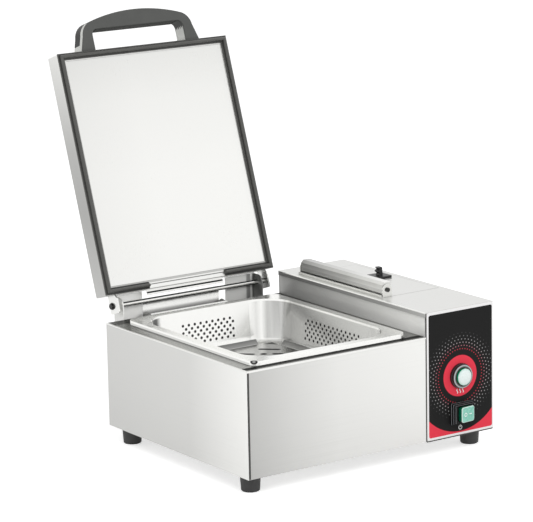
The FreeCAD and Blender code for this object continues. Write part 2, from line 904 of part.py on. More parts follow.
def corner_gap(reach, from_y, side, low):
    """Tool that leaves the plate's cut corners without a rim."""
    half_width = mouth_width / 2 - plate_margin_x - plate_corner_cut
    far = side * (abs(from_y) + plate_corner_cut + plate_rim_out + overrun)
    near_y, far_y = sorted((pan_mid_y + from_y, pan_mid_y + far))
    tools = []
    for sx in (-1, 1):
        x0, x1 = sorted((pan_mid_x + sx * half_width, pan_mid_x + sx * reach))
        tools.append(block(x0, x1, near_y, far_y, low + plate_sheet, low + plate_rim_rise + overrun))
    return Part.makeCompound(tools)


# Hinge between the body and the lid

def bracket_top():
    """Height of the back plate's top, which stops the open lid from leaning further."""
    reach = bracket_plate_behind_rod + bracket_sheet
    rise = (lid_edge_above_rod - channel_sheet - lid_stop_gap - reach * lean_sine) / lean_cosine
    return rod_z + rise


def hinge_bracket(plate_width):
    """Folded bracket on the rear panel: a back plate, an end cheek for the rod and a foot."""
    top = bracket_top()
    low = deck_height - bracket_drop
    back = rod_y + bracket_plate_behind_rod + bracket_sheet
    outer = bracket_outer_inset
    plate = block(outer, outer + plate_width, back - bracket_sheet, back, low, top)
    cheek = block(outer, outer + bracket_sheet, casing_depth, back, low, top)
    corner_box = block(outer - overrun, outer + bracket_sheet + overrun, casing_depth - overrun,
                       casing_depth + bracket_corner, top - bracket_corner, top + overrun)
    corner_round = round_x(outer - 2 * overrun, outer + bracket_sheet + 2 * overrun,
                           casing_depth + bracket_corner, top - bracket_corner, bracket_corner)
    cheek = cheek.cut(corner_box.cut(corner_round))
    foot = block(outer + bracket_sheet, outer + bracket_sheet + bracket_foot_width, casing_depth,
                 casing_depth + bracket_sheet, low, low + bracket_foot_height)
    bracket = joined([plate, cheek, foot])
    bracket = bracket.cut(round_x(outer - overrun, outer + bracket_sheet + overrun, rod_y, rod_z,
                                  rod_radius + running_clearance))
    for x, z in bracket_screw_places()[:2]:
        bracket = bracket.cut(round_y(casing_depth - overrun, casing_depth + bracket_sheet + overrun,
                                      x, z, bracket_screw_radius + screw_clearance))
    return bracket


def hinge_bracket_left():
    return hinge_bracket(bracket_plate_width)


def hinge_bracket_right():
    return mirrored_x(hinge_bracket(bracket_right_plate_width), pan_mid_x)


def bracket_screw_places():
    x = bracket_outer_inset + bracket_sheet + bracket_foot_width / 2
    low = deck_height - bracket_drop
    middle = low + bracket_foot_height / 2
    places = []
    for across in (x, body_width - x):
        for side in (-1, 1):
            places.append((across, middle + side * bracket_screw_spacing / 2))
    return places


def bracket_screws():
    group = []
    outside = casing_depth + bracket_sheet
    for x, z in bracket_screw_places():
        head = round_y(outside, outside + bracket_screw_head_height, x, z, bracket_screw_head_radius)
        shank = round_y(outside - bracket_screw_length, outside, x, z, bracket_screw_radius)
        group.append(joined([head, shank]))
    return Part.makeCompound(group)


def drip_channel():
    """Round-bottomed trough between the brackets that catches water off the open lid."""
    left = trough_left
    right = trough_right
    front = casing_depth
    back = rod_y + bracket_plate_behind_rod
    radius = (back - front) / 2
    mid_y = (front + back) / 2
    low = deck_height - trough_depth
    high = rod_z + trough_rise
    outer = joined([block(left, right, front, back, low, high),
                    round_x(left, right, mid_y, low, radius)])
    inner = joined([block(left - overrun, right + overrun, front + trough_sheet, back - trough_sheet,
                          low, high + overrun),
                    round_x(left - overrun, right + overrun, mid_y, low, radius - trough_sheet)])
    trough = outer.cut(inner)
    front_cut = block(left - overrun, right + overrun, front - overrun, front + trough_sheet + overrun,
                      deck_height - trough_front_drop, high + overrun)
    trough = trough.cut(front_cut)
    end_plate = joined([block(left, left + trough_sheet, front, back, low, deck_height - trough_front_drop),
                        round_x(left, left + trough_sheet, mid_y, low, radius)])
    return joined([trough, end_plate, mirrored_x(end_plate, (left + right) / 2)])


def hinge_rod():
    rod = round_x(ear_left + ear_sheet, ear_right - ear_sheet, 0, 0, rod_radius)
    bore = pivot_screw_radius + screw_clearance
    depth = pivot_screw_depth + screw_clearance
    rod = rod.cut(round_x(ear_left, ear_left + ear_sheet + depth, 0, 0, bore))
    rod = rod.cut(round_x(ear_right - ear_sheet - depth, ear_right, 0, 0, bore))
    return leaned(rod)


def pivot_screws():
    screw = joined([
        round_x(ear_left - pivot_washer_thickness, ear_left, 0, 0, pivot_washer_radius),
        round_x(ear_left - pivot_washer_thickness - pivot_screw_head_height,
                ear_left - pivot_washer_thickness, 0, 0, pivot_screw_head_radius),
        round_x(ear_left, ear_left + ear_sheet + pivot_screw_depth, 0, 0, pivot_screw_radius)])
    return leaned(Part.makeCompound([screw, mirrored_x(screw, pan_mid_x)]))


# Lid, drawn upright about the rod with its inside facing the front

def lid_shell():
    """Outer pan of the lid with a rim turned in all round for the seal."""
    outer = block(lid_left, lid_right, -rim_forward, lid_back, lid_edge_above_rod, lid_top)
    edges = []
    for edge in outer.Edges:
        box = edge.BoundBox
        if box.YMin > 0 or box.YLength > lid_depth / 2:
            edges.append(edge)
    outer = outer.makeFillet(lid_corner, edges)
    inner = block(lid_left + lid_sheet, lid_right - lid_sheet, -rim_forward + lid_sheet,
                  lid_back - lid_sheet, lid_edge_above_rod + lid_sheet, lid_top - lid_sheet)
    mouth = block(lid_left + rim_width, lid_right - rim_width, -rim_forward - overrun,
                  -rim_forward + 2 * lid_sheet, lid_edge_above_rod + rim_width, lid_top - rim_width)
    shell = outer.cut(inner).cut(mouth)
    for x in handle_screw_places():
        shell = shell.cut(round_z(lid_top - 2 * lid_sheet, lid_top + overrun, x, handle_middle(),
                                  handle_screw_radius + screw_clearance))
    return leaned(shell)


def lid_inner_panel():
    """Inside sheet with a shallow raised field that fills the rim's opening."""
    gap = lid_sheet + screw_clearance
    plate = block(lid_left + gap, lid_right - gap, -rim_forward + lid_sheet, -rim_forward + 2 * lid_sheet,
                  lid_edge_above_rod + gap, lid_top - gap)
    field = block(lid_left + rim_width + screw_clearance, lid_right - rim_width - screw_clearance,
                  -rim_forward, -rim_forward + lid_sheet,
                  lid_edge_above_rod + rim_width + screw_clearance,
                  lid_top - rim_width - screw_clearance)
    return leaned(joined([plate, field]))


def lid_insulation():
    gap = lid_sheet + screw_clearance
    return leaned(block(lid_left + gap, lid_right - gap, -rim_forward + 2 * lid_sheet, lid_back - lid_sheet,
                        lid_edge_above_rod + gap, lid_top - lid_sheet - insulation_gap))


def seal_section():
    """Stepped section of the seal as (distance in from the lid's edge, height) points."""
    step_in = (gasket_width - gasket_step_width) / 2
    bead_in = (gasket_width - gasket_bead_width) / 2
    step_top = gasket_base + gasket_step_height
    return [(0, 0), (gasket_width, 0), (gasket_width, gasket_base),
            (gasket_width - step_in, gasket_base), (gasket_width - step_in, step_top),
            (gasket_width - bead_in, step_top), (gasket_width - bead_in, gasket_height),
            (bead_in, gasket_height), (bead_in, step_top), (step_in, step_top),
            (step_in, gasket_base), (0, gasket_base)]


def lid_gasket():
    """Rubber seal carried round the rim, mitred at the corners, open over the trough."""
    mid_x = (lid_left + lid_right) / 2 + gasket_vent_shift
    low = lid_edge_above_rod
    stops = [V(mid_x - gasket_vent / 2, -rim_forward, low), V(lid_left, -rim_forward, low),
             V(lid_left, -rim_forward, lid_top), V(lid_right, -rim_forward, lid_top),
             V(lid_right, -rim_forward, low), V(mid_x + gasket_vent / 2, -rim_forward, low)]
    path = Part.makePolygon(stops)
    section = []
    for inward, height in seal_section():
        section.append(stops[0] + V(0, -height, inward))
    profile = Part.makePolygon(section + section[:1])
    sweep = Part.BRepOffsetAPI.MakePipeShell(path)
    sweep.setTransitionMode(1)
    sweep.add(profile)
    sweep.build()
    sweep.makeSolid()
    return leaned(sweep.shape())


def lid_hinge_channel():
    """Folded strip under the lid's hinge edge with an ear at each end for the rod."""
    high = lid_edge_above_rod
    strip = block(ear_left, ear_right, -channel_half_depth, channel_half_depth, high - channel_sheet, high)
    lip = block(trough_left + channel_lip_inset, trough_right, -channel_half_depth,
                -channel_half_depth + channel_sheet,
                high - channel_sheet - channel_lip_drop, high - channel_sheet)
    points = [(ear_back, high), (-ear_neck, high), (-ear_front, ear_shoulder), (-ear_front, -ear_drop),
              (ear_back, -ear_drop)]
    ear = outline_x(points, ear_left, ear_left + ear_sheet)
    edges = []
    for edge in ear.Edges:
        box = edge.BoundBox
        if box.XLength > ear_sheet / 2 and box.ZMax < ear_shoulder + running_clearance:
            edges.append(edge)
    ear = ear.makeFillet(ear_corner, edges)
    ear = ear.cut(round_x(ear_left - overrun, ear_left + ear_sheet + overrun, 0, 0,
                          pivot_screw_radius + screw_clearance))
    return leaned(joined([strip, lip, ear, mirrored_x(ear, pan_mid_x)]))


# Handle

def handle_front():
    return -rim_forward + handle_front_setback


def handle_middle():
    return handle_front() + handle_depth / 2


def handle_screw_places():
    mid_x = (lid_left + lid_right) / 2
    return [mid_x - handle_screw_half_spacing, mid_x + handle_screw_half_spacing]


def handle_wire(shrink, y):
    """Outer line of the handle: two sloping legs, round shoulders and a shallow arch."""
    mid_x = (lid_left + lid_right) / 2

    def at(x, z):
        return V(mid_x + x, y, lid_top + z)

    base = handle_half_base - shrink
    shoulder = handle_half_shoulder - shrink
    arc_top = handle_arc_height - shrink
    turn = math.cos(math.pi / 4) * shrink
    left = at(-base, 0)
    left_up = at(-shoulder, handle_shoulder_height)
    left_turn = at(-handle_turn_half + turn, handle_turn_height - turn)
    left_arc = at(-handle_arc_half, arc_top)
    right = at(base, 0)
    right_up = at(shoulder, handle_shoulder_height)
    right_turn = at(handle_turn_half - turn, handle_turn_height - turn)
    right_arc = at(handle_arc_half, arc_top)
    edges = [Part.makeLine(left, left_up), Part.Arc(left_up, left_turn, left_arc).toShape(),
             Part.Arc(left_arc, at(0, handle_top - shrink), right_arc).toShape(),
             Part.Arc(right_arc, right_turn, right_up).toShape(), Part.makeLine(right_up, right),
             Part.makeLine(right, left)]
    return Part.Wire(edges)


def handle_slab(shrink, y0, y1):
    return Part.Face(handle_wire(shrink, y0)).extrude(V(0, y1 - y0, 0))


def handle_opening():
    mid_x = (lid_left + lid_right) / 2
    low = lid_top - handle_opening_height
    front = handle_front() - overrun
    back = handle_front() + handle_depth + overrun
    opening = block(mid_x - handle_opening_half, mid_x + handle_opening_half, front, back,
                    low, lid_top + handle_opening_height)
    edges = []
    for edge in opening.Edges:
        box = edge.BoundBox
        if box.YLength > handle_depth / 2 and box.ZMin > lid_top:
            edges.append(edge)
    return opening.makeFillet(handle_opening_corner, edges)


def handle_band_ring():
    """The strip of the handle's outer face that the inset band fills, clear of the lid."""
    mid_x = (lid_left + lid_right) / 2
    front = handle_front() + band_from_front
    back = handle_front() + handle_depth
    ring = handle_slab(0, front, back).cut(handle_slab(band_thickness, front - overrun, back + overrun))
    below = block(mid_x - handle_half_base - overrun, mid_x + handle_half_base + overrun, front - overrun,
                  back + overrun, lid_top - overrun, lid_top + band_end_height)
    return ring.cut(below)


def grip_rib(index):
    """One finger rib along the underside of the arch, between the rounded corners."""
    mid_x = (lid_left + lid_right) / 2
    half = handle_opening_half - handle_opening_corner
    under = lid_top + handle_opening_height
    y = handle_middle() + (index - (grip_ribs - 1) / 2) * grip_rib_pitch
    points = [(y - grip_rib_pitch / 2, under), (y, under - grip_rib_depth), (y + grip_rib_pitch / 2, under)]
    return outline_x(points, mid_x - half, mid_x + half)


def handle_core():
    """Middle layer of the handle with grip ribs under its arch and a groove for the band."""
    front = handle_front() + handle_cover
    back = handle_front() + handle_depth - handle_cover
    core = handle_slab(0, front, back).cut(handle_opening())
    core = core.fuse([grip_rib(index) for index in range(grip_ribs)]).removeSplitter()
    core = core.cut(handle_band_ring())
    for x in handle_screw_places():
        core = core.cut(round_z(lid_top - overrun, lid_top + handle_screw_depth + screw_clearance, x,
                                handle_middle(), handle_screw_radius + screw_clearance))
    return leaned(core)


def handle_front_cover():
    front = handle_front()
    return leaned(handle_slab(0, front, front + handle_cover).cut(handle_opening()))


def handle_back_cover():
    back = handle_front() + handle_depth
    cover = handle_slab(0, back - handle_cover, back).cut(handle_opening())
    return leaned(cover.cut(handle_band_ring()))


def handle_band():
    return leaned(handle_band_ring())


def handle_screws():
    group = []
    inside = lid_top - lid_sheet
    for x in handle_screw_places():
        head = round_z(inside - handle_screw_head_height, inside, x, handle_middle(),
                       handle_screw_head_radius)
        shank = round_z(inside, lid_top + handle_screw_depth, x, handle_middle(), handle_screw_radius)
        group.append(joined([head, shank]))
    return leaned(Part.makeCompound(group))


# Tank flap and its hinge

def flap_hinge_base():
    """Strip on the cover with an upturned lip and a round-topped cheek at each end."""
    left = flap_rod_x - hinge_base_left
    right = flap_rod_x + hinge_base_right
    low = housing_height
    strip = block(left, right, hinge_base_front, hinge_base_back, low, low + hinge_base_sheet)
    lip = block(left, left + hinge_base_sheet, hinge_base_front, hinge_base_back, low, low + hinge_base_lip)
    cheek = joined([block(flap_rod_x - cheek_radius, flap_rod_x + cheek_radius, hinge_base_front,
                          hinge_base_front + cheek_thickness, low, flap_rod_z),
                    round_y(hinge_base_front, hinge_base_front + cheek_thickness, flap_rod_x, flap_rod_z,
                            cheek_radius)])
    cheek = cheek.cut(round_y(hinge_base_front - overrun, hinge_base_front + cheek_thickness + overrun,
                              flap_rod_x, flap_rod_z, flap_rod_radius + screw_clearance))
    far = cheek.translated(V(0, hinge_base_back - cheek_thickness - hinge_base_front, 0))
    return joined([strip, lip, cheek, far])


def flap_hinge_rod():
    rod = round_y(hinge_base_front - flap_nut_height, hinge_base_back + flap_nut_height,
                  flap_rod_x, flap_rod_z, flap_rod_radius)
    front = round_y(hinge_base_front - flap_nut_height, hinge_base_front, flap_rod_x, flap_rod_z,
                    flap_nut_radius)
    back = round_y(hinge_base_back, hinge_base_back + flap_nut_height, flap_rod_x, flap_rod_z,
                   flap_nut_radius)
    return joined([rod, front, back])


def channel_points(inset):
    """Bevelled section of the flap's hinge channel, drawn in by the inset."""
    left = flap_rod_x - flap_channel_half + inset
    right = flap_rod_x + flap_channel_half - inset
    top = flap_rod_z + flap_channel_top - inset
    bevel = flap_channel_bevel
    low = flap_rod_z - flap_channel_drop
    return [(left, low), (left, top - bevel), (left + bevel, top), (right, top), (right, low)]


def flap_hinge_channel():
    """Bevelled channel over the rod, closed at both ends by webs that turn on it."""
    shell = outline_y(channel_points(0), flap_front, flap_back)
    hollow = outline_y(channel_points(flap_channel_sheet), flap_front + flap_channel_web,
                       flap_back - flap_channel_web)
    mouth = block(flap_rod_x - flap_channel_half + flap_channel_sheet,
                  flap_rod_x + flap_channel_half - flap_channel_sheet,
                  flap_front + flap_channel_web, flap_back - flap_channel_web,
                  flap_rod_z - flap_channel_drop - overrun, flap_rod_z - flap_channel_drop + overrun)
    channel = shell.cut(hollow).cut(mouth)
    web_low = housing_height + flap_seat_gap + flap_sheet_thickness - sheet
    web = block(flap_rod_x + flap_channel_half - flap_channel_sheet, flap_rod_x + flap_channel_half,
                flap_front, flap_back, web_low + flap_gap, flap_rod_z)
    bore = round_y(flap_front - overrun, flap_back + overrun, flap_rod_x, flap_rod_z,
                   flap_rod_radius + running_clearance)
    return joined([channel, web]).cut(bore)


def tank_flap():
    """Flat flap lying in the cover's opening, its left edge folded up to the channel."""
    low = cover_under + flap_seat_gap
    high = low + flap_sheet_thickness
    leaf = block(flap_left, flap_right, flap_front, flap_back, low, high)
    turn = block(flap_left, flap_left + flap_sheet_thickness, flap_front, flap_back, high, flap_rod_z)
    return joined([leaf, turn])


def flap_tab():
    """Moulded finger tab: a square foot and an upright blade with two hooked steps."""
    mid_x = flap_right - tab_from_right
    mid_y = (flap_front + flap_back) / 2 + tab_behind_middle
    low = cover_under + flap_seat_gap + flap_sheet_thickness
    foot = block(mid_x - tab_base_size / 2, mid_x + tab_base_size / 2, mid_y - tab_base_size / 2,
                 mid_y + tab_base_size / 2, low, low + tab_base_height)
    step = (tab_height - tab_base_height) / 4
    rise = low + tab_base_height
    left = mid_x - tab_root / 2
    right = mid_x + tab_root / 2
    points = [(right, rise), (left, rise), (left + tab_hook / 2, rise + step),
              (left - tab_hook, rise + 2 * step),
              (left + tab_hook / 2, rise + 3 * step), (left - tab_hook, rise + 4 * step),
              (left + tab_tip, rise + 4 * step)]
    blade = outline_y(points, mid_y - tab_width / 2, mid_y + tab_width / 2)
    return joined([foot, blade])


# Water tank, pump and feed

def water_tank():
    """Open tank hung under the cover, with a ledge that the flap lies on."""
    mid_x = (tank_left + tank_right) / 2
    mid_y = (tank_front + tank_back) / 2
    width = tank_right - tank_left
    length = tank_back - tank_front
    outer = block(tank_left, tank_right, tank_front, tank_back, tank_floor, tank_top)
    rim = block(hole_left - tank_rim_out + flap_ledge, flap_right + tank_rim_out,
                flap_front - tank_rim_out, flap_back + tank_rim_out, tank_top - tank_rim_height, tank_top)
    inner = rounded_block(mid_x, mid_y, width - 2 * tank_wall, length - 2 * tank_wall, tank_inset,
                          tank_floor + tank_wall, tank_top + overrun)
    spout = round_z(tank_floor - outlet_length, tank_floor, outlet_x, outlet_y, outlet_radius)
    bore = round_z(tank_floor - outlet_length - overrun, tank_floor + 2 * tank_wall, outlet_x, outlet_y,
                   outlet_bore)
    return joined([outer, rim, spout]).cut(inner).cut(bore)


def tank_strainer():
    """Slotted cup that stands over the outlet inside the tank."""
    low = tank_floor + tank_wall
    cup = round_z(low, low + strainer_height, outlet_x, outlet_y, strainer_radius)
    hollow = round_z(low - overrun, low + strainer_height - strainer_wall, outlet_x, outlet_y,
                     strainer_radius - strainer_wall)
    cup = cup.cut(hollow)
    for index in range(strainer_slots):
        slot = block(strainer_radius / 2, strainer_radius + overrun, -strainer_slot_width / 2,
                     strainer_slot_width / 2, low + strainer_wall, low + strainer_height - 2 * strainer_wall)
        slot.rotate(V(0, 0, 0), V(0, 0, 1), 360.0 * index / strainer_slots)
        cup = cup.cut(slot.translated(V(outlet_x, outlet_y, 0)))
    return cup


def pump():
    """Solenoid pump: coil block with a round end each side and a port on top."""
    core = block(outlet_x - pump_width / 2, outlet_x + pump_width / 2, outlet_y - pump_length / 2,
                 outlet_y + pump_length / 2, pump_floor, pump_top)
    mid_z = pump_floor + pump_height / 2
    front = round_y(outlet_y - pump_length / 2 - pump_end_length, outlet_y - pump_length / 2, outlet_x,
                    mid_z, pump_end_radius)
    back = round_y(outlet_y + pump_length / 2, outlet_y + pump_length / 2 + pump_end_length, outlet_x,
                   mid_z, pump_end_radius)
    return joined([core, front, back])


def pump_bracket():
    """Folded cradle on the tray floor that carries the pump."""
    left = outlet_x - pump_width / 2 - pump_bracket_sheet
    right = outlet_x + pump_width / 2 + pump_bracket_sheet
    front = outlet_y - pump_length / 2
    back = outlet_y + pump_length / 2
    top = block(left, right, front, back, pump_floor - pump_bracket_sheet, pump_floor)
    leg = block(left, left + pump_bracket_sheet, front, back, sheet, pump_floor - pump_bracket_sheet)
    return joined([top, leg, mirrored_x(leg, outlet_x)])


def suction_hose():
    low = pump_top
    high = tank_floor - outlet_length
    hose = round_z(low, high, outlet_x, outlet_y, hose_radius)
    return hose.cut(round_z(low - overrun, high + overrun, outlet_x, outlet_y, hose_bore))


def delivery_hose():
    """Hose from the pump's side up and across to the water pipe through the inner wall."""
    start = V(feed_x, feed_y, pump_top)
    end_x = body_width + 2 * sheet + flange_width
    level = V(start.x, start.y, nozzle_z)
    corner = level + V(0, 0, -hose_bend)
    after = level + V(-hose_bend, 0, 0)
    bend_mid = V(level.x - hose_bend + hose_bend * math.cos(math.pi / 4), level.y,
                 level.z - hose_bend + hose_bend * math.sin(math.pi / 4))
    end = V(end_x, start.y, nozzle_z)
    path = Part.Wire([Part.makeLine(start, corner), Part.Arc(corner, bend_mid, after).toShape(),
                      Part.makeLine(after, end)])
    outer = tube_along(path, hose_radius, start, V(0, 0, 1))
    return outer.cut(tube_along(path, hose_bore, start, V(0, 0, 1)))


# Pieces on the front panel

def button_bezel():
    """Black base ring with a clear inner ring that guards the steam button."""
    front = -overlay_thickness
    base = round_y(front - bezel_depth, front, fascia_mid, button_height, bezel_radius)
    ring = round_y(front - ring_depth, front, fascia_mid, button_height, ring_radius)
    barrel = round_y(front, front + barrel_length, fascia_mid, button_height, barrel_radius)
    bore = round_y(front - ring_depth - overrun, front, fascia_mid, button_height, cap_radius + moving_gap)
    core = round_y(front - overrun, front + barrel_length + overrun, fascia_mid, button_height,
                   spring_radius + spring_wire + moving_gap)
    return joined([base, ring, barrel]).cut(bore).cut(core)


def steam_button():
    """Fluted cap with a shallow dome and a stem behind it."""
    front = -overlay_thickness
    face = front - cap_length
    body_front = face + cap_dome
    body_back = front - button_travel - moving_gap
    body = round_y(body_front, body_back, fascia_mid, button_height, cap_radius)
    dome_radius = (cap_radius ** 2 + cap_dome ** 2) / (2 * cap_dome)
    dome = Part.makeSphere(dome_radius, V(fascia_mid, face + dome_radius, button_height))
    dome = dome.common(round_y(face, body_front, fascia_mid, button_height, cap_radius))
    stem = round_y(body_back, front + barrel_length - button_travel, fascia_mid, button_height, stem_radius)
    return joined([body, dome, stem])


def button_contact():
    """Contact block clipped on the back of the button's barrel."""
    front = -overlay_thickness + barrel_length
    half = contact_size / 2
    return block(fascia_mid - half, fascia_mid + half, front, front + contact_depth,
                 button_height - half, button_height + half)


def button_spring():
    """Return spring behind the cap, drawn at its pressed length on the contact block."""
    front = -overlay_thickness
    back = -overlay_thickness + barrel_length
    length = back - front
    tube = round_y(front, back, fascia_mid, button_height, spring_radius + spring_wire / 2)
    return tube.cut(round_y(front - overrun, front + length + overrun, fascia_mid, button_height,
                            spring_radius - spring_wire / 2))


def switch_housing():
    """Stepped frame of the power switch with the body behind the panel."""
    front = -overlay_thickness
    half = switch_width / 2
    tall = switch_tall / 2
    layers = []
    depth = front
    inset = 0
    for layer in range(3):
        reach = switch_flange_depth if layer == 0 else switch_step_depth
        layers.append(block(fascia_mid - half + inset, fascia_mid + half - inset, depth - reach, depth,
                            switch_height - tall + inset, switch_height + tall - inset))
        depth -= reach
        inset += switch_step / 2
    body_half = half - switch_body_margin
    body_tall = tall - switch_body_margin
    layers.append(block(fascia_mid - body_half, fascia_mid + body_half, front, front + switch_body_depth,
                        switch_height - body_tall, switch_height + body_tall))
    pocket = block(fascia_mid - rocker_width / 2 - rocker_gap, fascia_mid + rocker_width / 2 + rocker_gap,
                   depth - overrun, rocker_axis_y() + rocker_depth,
                   switch_height - rocker_tall / 2 - rocker_gap, switch_height + rocker_tall / 2 + rocker_gap)
    pin = round_z(switch_height - rocker_tall / 2 - rocker_gap - switch_wall / 2,
                  switch_height + rocker_tall / 2 + rocker_gap + switch_wall / 2, fascia_mid,
                  rocker_axis_y(), rocker_pin_radius + running_clearance)
    return joined(layers).cut(pocket).cut(pin)


def switch_front():
    return -overlay_thickness - switch_flange_depth - 2 * switch_step_depth


def rocker_axis_y():
    return switch_front() + rocker_depth / 2


def power_rocker():
    """Two-way rocker, shallow vee face, turning about an upright pin."""
    mid = rocker_axis_y()
    front = switch_front() - rocker_proud
    half = rocker_width / 2
    vee = half * math.tan(math.radians(rocker_vee))
    dip = half * math.tan(math.radians(rocker_tilt))
    cheek = rocker_depth / 2
    points = [(fascia_mid - half, front), (fascia_mid, front + vee), (fascia_mid + half, front),
              (fascia_mid + half - dip, mid + cheek / 2), (fascia_mid, mid + cheek),
              (fascia_mid - half + dip, mid + cheek / 2)]
    low = switch_height - rocker_tall / 2
    corners = [V(x, y, low) for x, y in points]
    key = Part.Face(Part.makePolygon(corners + corners[:1])).extrude(V(0, 0, rocker_tall))
    pin = round_z(low - rocker_gap - switch_wall / 2 + running_clearance,
                  low + rocker_tall + rocker_gap + switch_wall / 2 - running_clearance,
                  fascia_mid, mid, rocker_pin_radius)
    rocker = joined([key, pin])
    rocker.rotate(V(fascia_mid, mid, 0), V(0, 0, 1), rocker_tilt)
    return rocker


# Electrical pieces

def terminal_block():
    """Terminal strip on the tray floor with a screw at each way."""
    left = fascia_mid - block_length / 2
    front = block_from_front
    body = block(left, left + block_length, front, front + block_width, sheet, sheet + block_height)
    pitch = block_length / block_terminals
    for index in range(block_terminals):
        x = left + (index + 0.5) * pitch
        body = body.cut(round_z(sheet + block_height / 2, sheet + block_height + overrun, x,
                                front + block_width / 2, terminal_radius))
    return body


def timer_board():
    """Steam timer board with its relay and capacitor, on four posts off the side panel."""
    right = inner_right - board_standoff
    front = board_from_front
    low = sheet + board_above_tray
    board = block(right - board_thickness, right, front, front + board_length, low, low + board_height)
    parts = [board]
    for y in (front + standoff_inset, front + board_length - standoff_inset):
        for z in (low + standoff_inset, low + board_height - standoff_inset):
            parts.append(round_x(right, inner_right, y, z, standoff_radius))
    face = right - board_thickness
    mid_z = low + board_height / 2
    parts.append(block(face - relay_depth, face, front + 2 * standoff_inset,
                       front + 2 * standoff_inset + relay_length, mid_z - relay_height / 2,
                       mid_z + relay_height / 2))
    parts.append(round_x(face - capacitor_height, face, front + board_length - 3 * standoff_inset, mid_z,
                         capacitor_radius))
    return joined(parts)


def cord_gland():
    """Bushing in the rear panel where the supply lead enters."""
    x = overall_width - gland_from_right
    outside = casing_depth
    collar = round_y(outside, outside + gland_collar_height, x, gland_above_base, gland_collar_radius)
    body = round_y(outside - gland_body_length, outside, x, gland_above_base, gland_radius)
    nut = round_y(inner_back - gland_collar_height, inner_back, x, gland_above_base, gland_collar_radius)
    bore = round_y(outside - gland_body_length - overrun, outside + gland_collar_height + overrun, x,
                   gland_above_base, gland_bore)
    return joined([collar, body, nut]).cut(bore)


def water_pipe():
    """Pipe through the inner wall and the chamber wall, with a down-turned mouth."""
    right = body_width + 2 * sheet + flange_width
    left = pan_mid_x + well_width / 2 - nozzle_reach
    y = feed_y
    pipe = round_x(left, right, y, nozzle_z, nozzle_radius)
    mouth = round_z(nozzle_z - nozzle_radius - nozzle_bore / 2, nozzle_z, left + nozzle_radius, y,
                    nozzle_radius)
    bore = round_x(left + nozzle_radius, right + overrun, y, nozzle_z, nozzle_bore)
    drop = round_z(nozzle_z - 2 * nozzle_radius, nozzle_z, left + nozzle_radius, y, nozzle_bore)
    return joined([pipe, mouth]).cut(bore).cut(drop)


pieces = {
    "base_tray": base_tray,
    "feet": feet,
    "foot_screws": foot_screws,
    "left_side_panel": left_side_panel,
    "front_panel": front_panel,
    "rear_panel": rear_panel,
    "right_side_panel": right_side_panel,
    "deck": deck,
    "housing_inner_wall": housing_inner_wall,
    "housing_top_cover": housing_top_cover,
    "control_fascia": control_fascia,
    "control_overlay": control_overlay,
    "casing_screws": casing_screws,
    "well_liner": well_liner,
    "steam_plate": steam_plate,
    "heating_element": heating_element,
    "heat_shield": heat_shield,
    "heater_blanket": heater_blanket,
    "thermostat": thermostat,
    "safety_cutout": safety_cutout,
    "steam_pan": steam_pan,
    "slotted_plate": slotted_plate,
    "hinge_bracket_left": hinge_bracket_left,
    "hinge_bracket_right": hinge_bracket_right,
    "bracket_screws": bracket_screws,
    "drip_channel": drip_channel,
    "hinge_rod": hinge_rod,
    "pivot_screws": pivot_screws,
    "lid_shell": lid_shell,
    "lid_inner_panel": lid_inner_panel,
    "lid_insulation": lid_insulation,
    "lid_gasket": lid_gasket,
    "lid_hinge_channel": lid_hinge_channel,
    "handle_core": handle_core,
    "handle_front_cover": handle_front_cover,
    "handle_back_cover": handle_back_cover,
    "handle_band": handle_band,
    "handle_screws": handle_screws,
    "flap_hinge_base": flap_hinge_base,
    "flap_hinge_rod": flap_hinge_rod,
    "flap_hinge_channel": flap_hinge_channel,
    "tank_flap": tank_flap,
    "flap_tab": flap_tab,
    "water_tank": water_tank,
    "tank_strainer": tank_strainer,
    "pump": pump,
    "pump_bracket": pump_bracket,
    "suction_hose": suction_hose,
    "delivery_hose": delivery_hose,
    "water_pipe": water_pipe,
    "terminal_block": terminal_block,
    "timer_board": timer_board,
    "cord_gland": cord_gland,
    "button_bezel": button_bezel,
    "button_contact": button_contact,
    "button_spring": button_spring,
    "steam_button": steam_button,
    "switch_housing": switch_housing,
    "power_rocker": power_rocker,
}

os.makedirs("parts", exist_ok=True)
for name, make in pieces.items():
    shape = make()
    shape.translate(frame_shift)
    shape.exportStep("parts/" + name + ".step")
    print(name, len(shape.Solids), "solids", round(shape.Volume / 1000, 2), "cm3")
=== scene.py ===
# %% [markdown]
# # A countertop pan steamer
#
# A low stainless casing holds a drawn pan over a steam chamber. A flat insulated
# lid stands open behind it, and a narrow housing on the right carries the water
# tank and the two controls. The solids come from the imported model, so every new
# piece is placed from the boxes of those solids and never by eye.

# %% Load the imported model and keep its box
import json
import math

import bmesh
import bpy
import numpy as np
from mathutils import Matrix, Vector

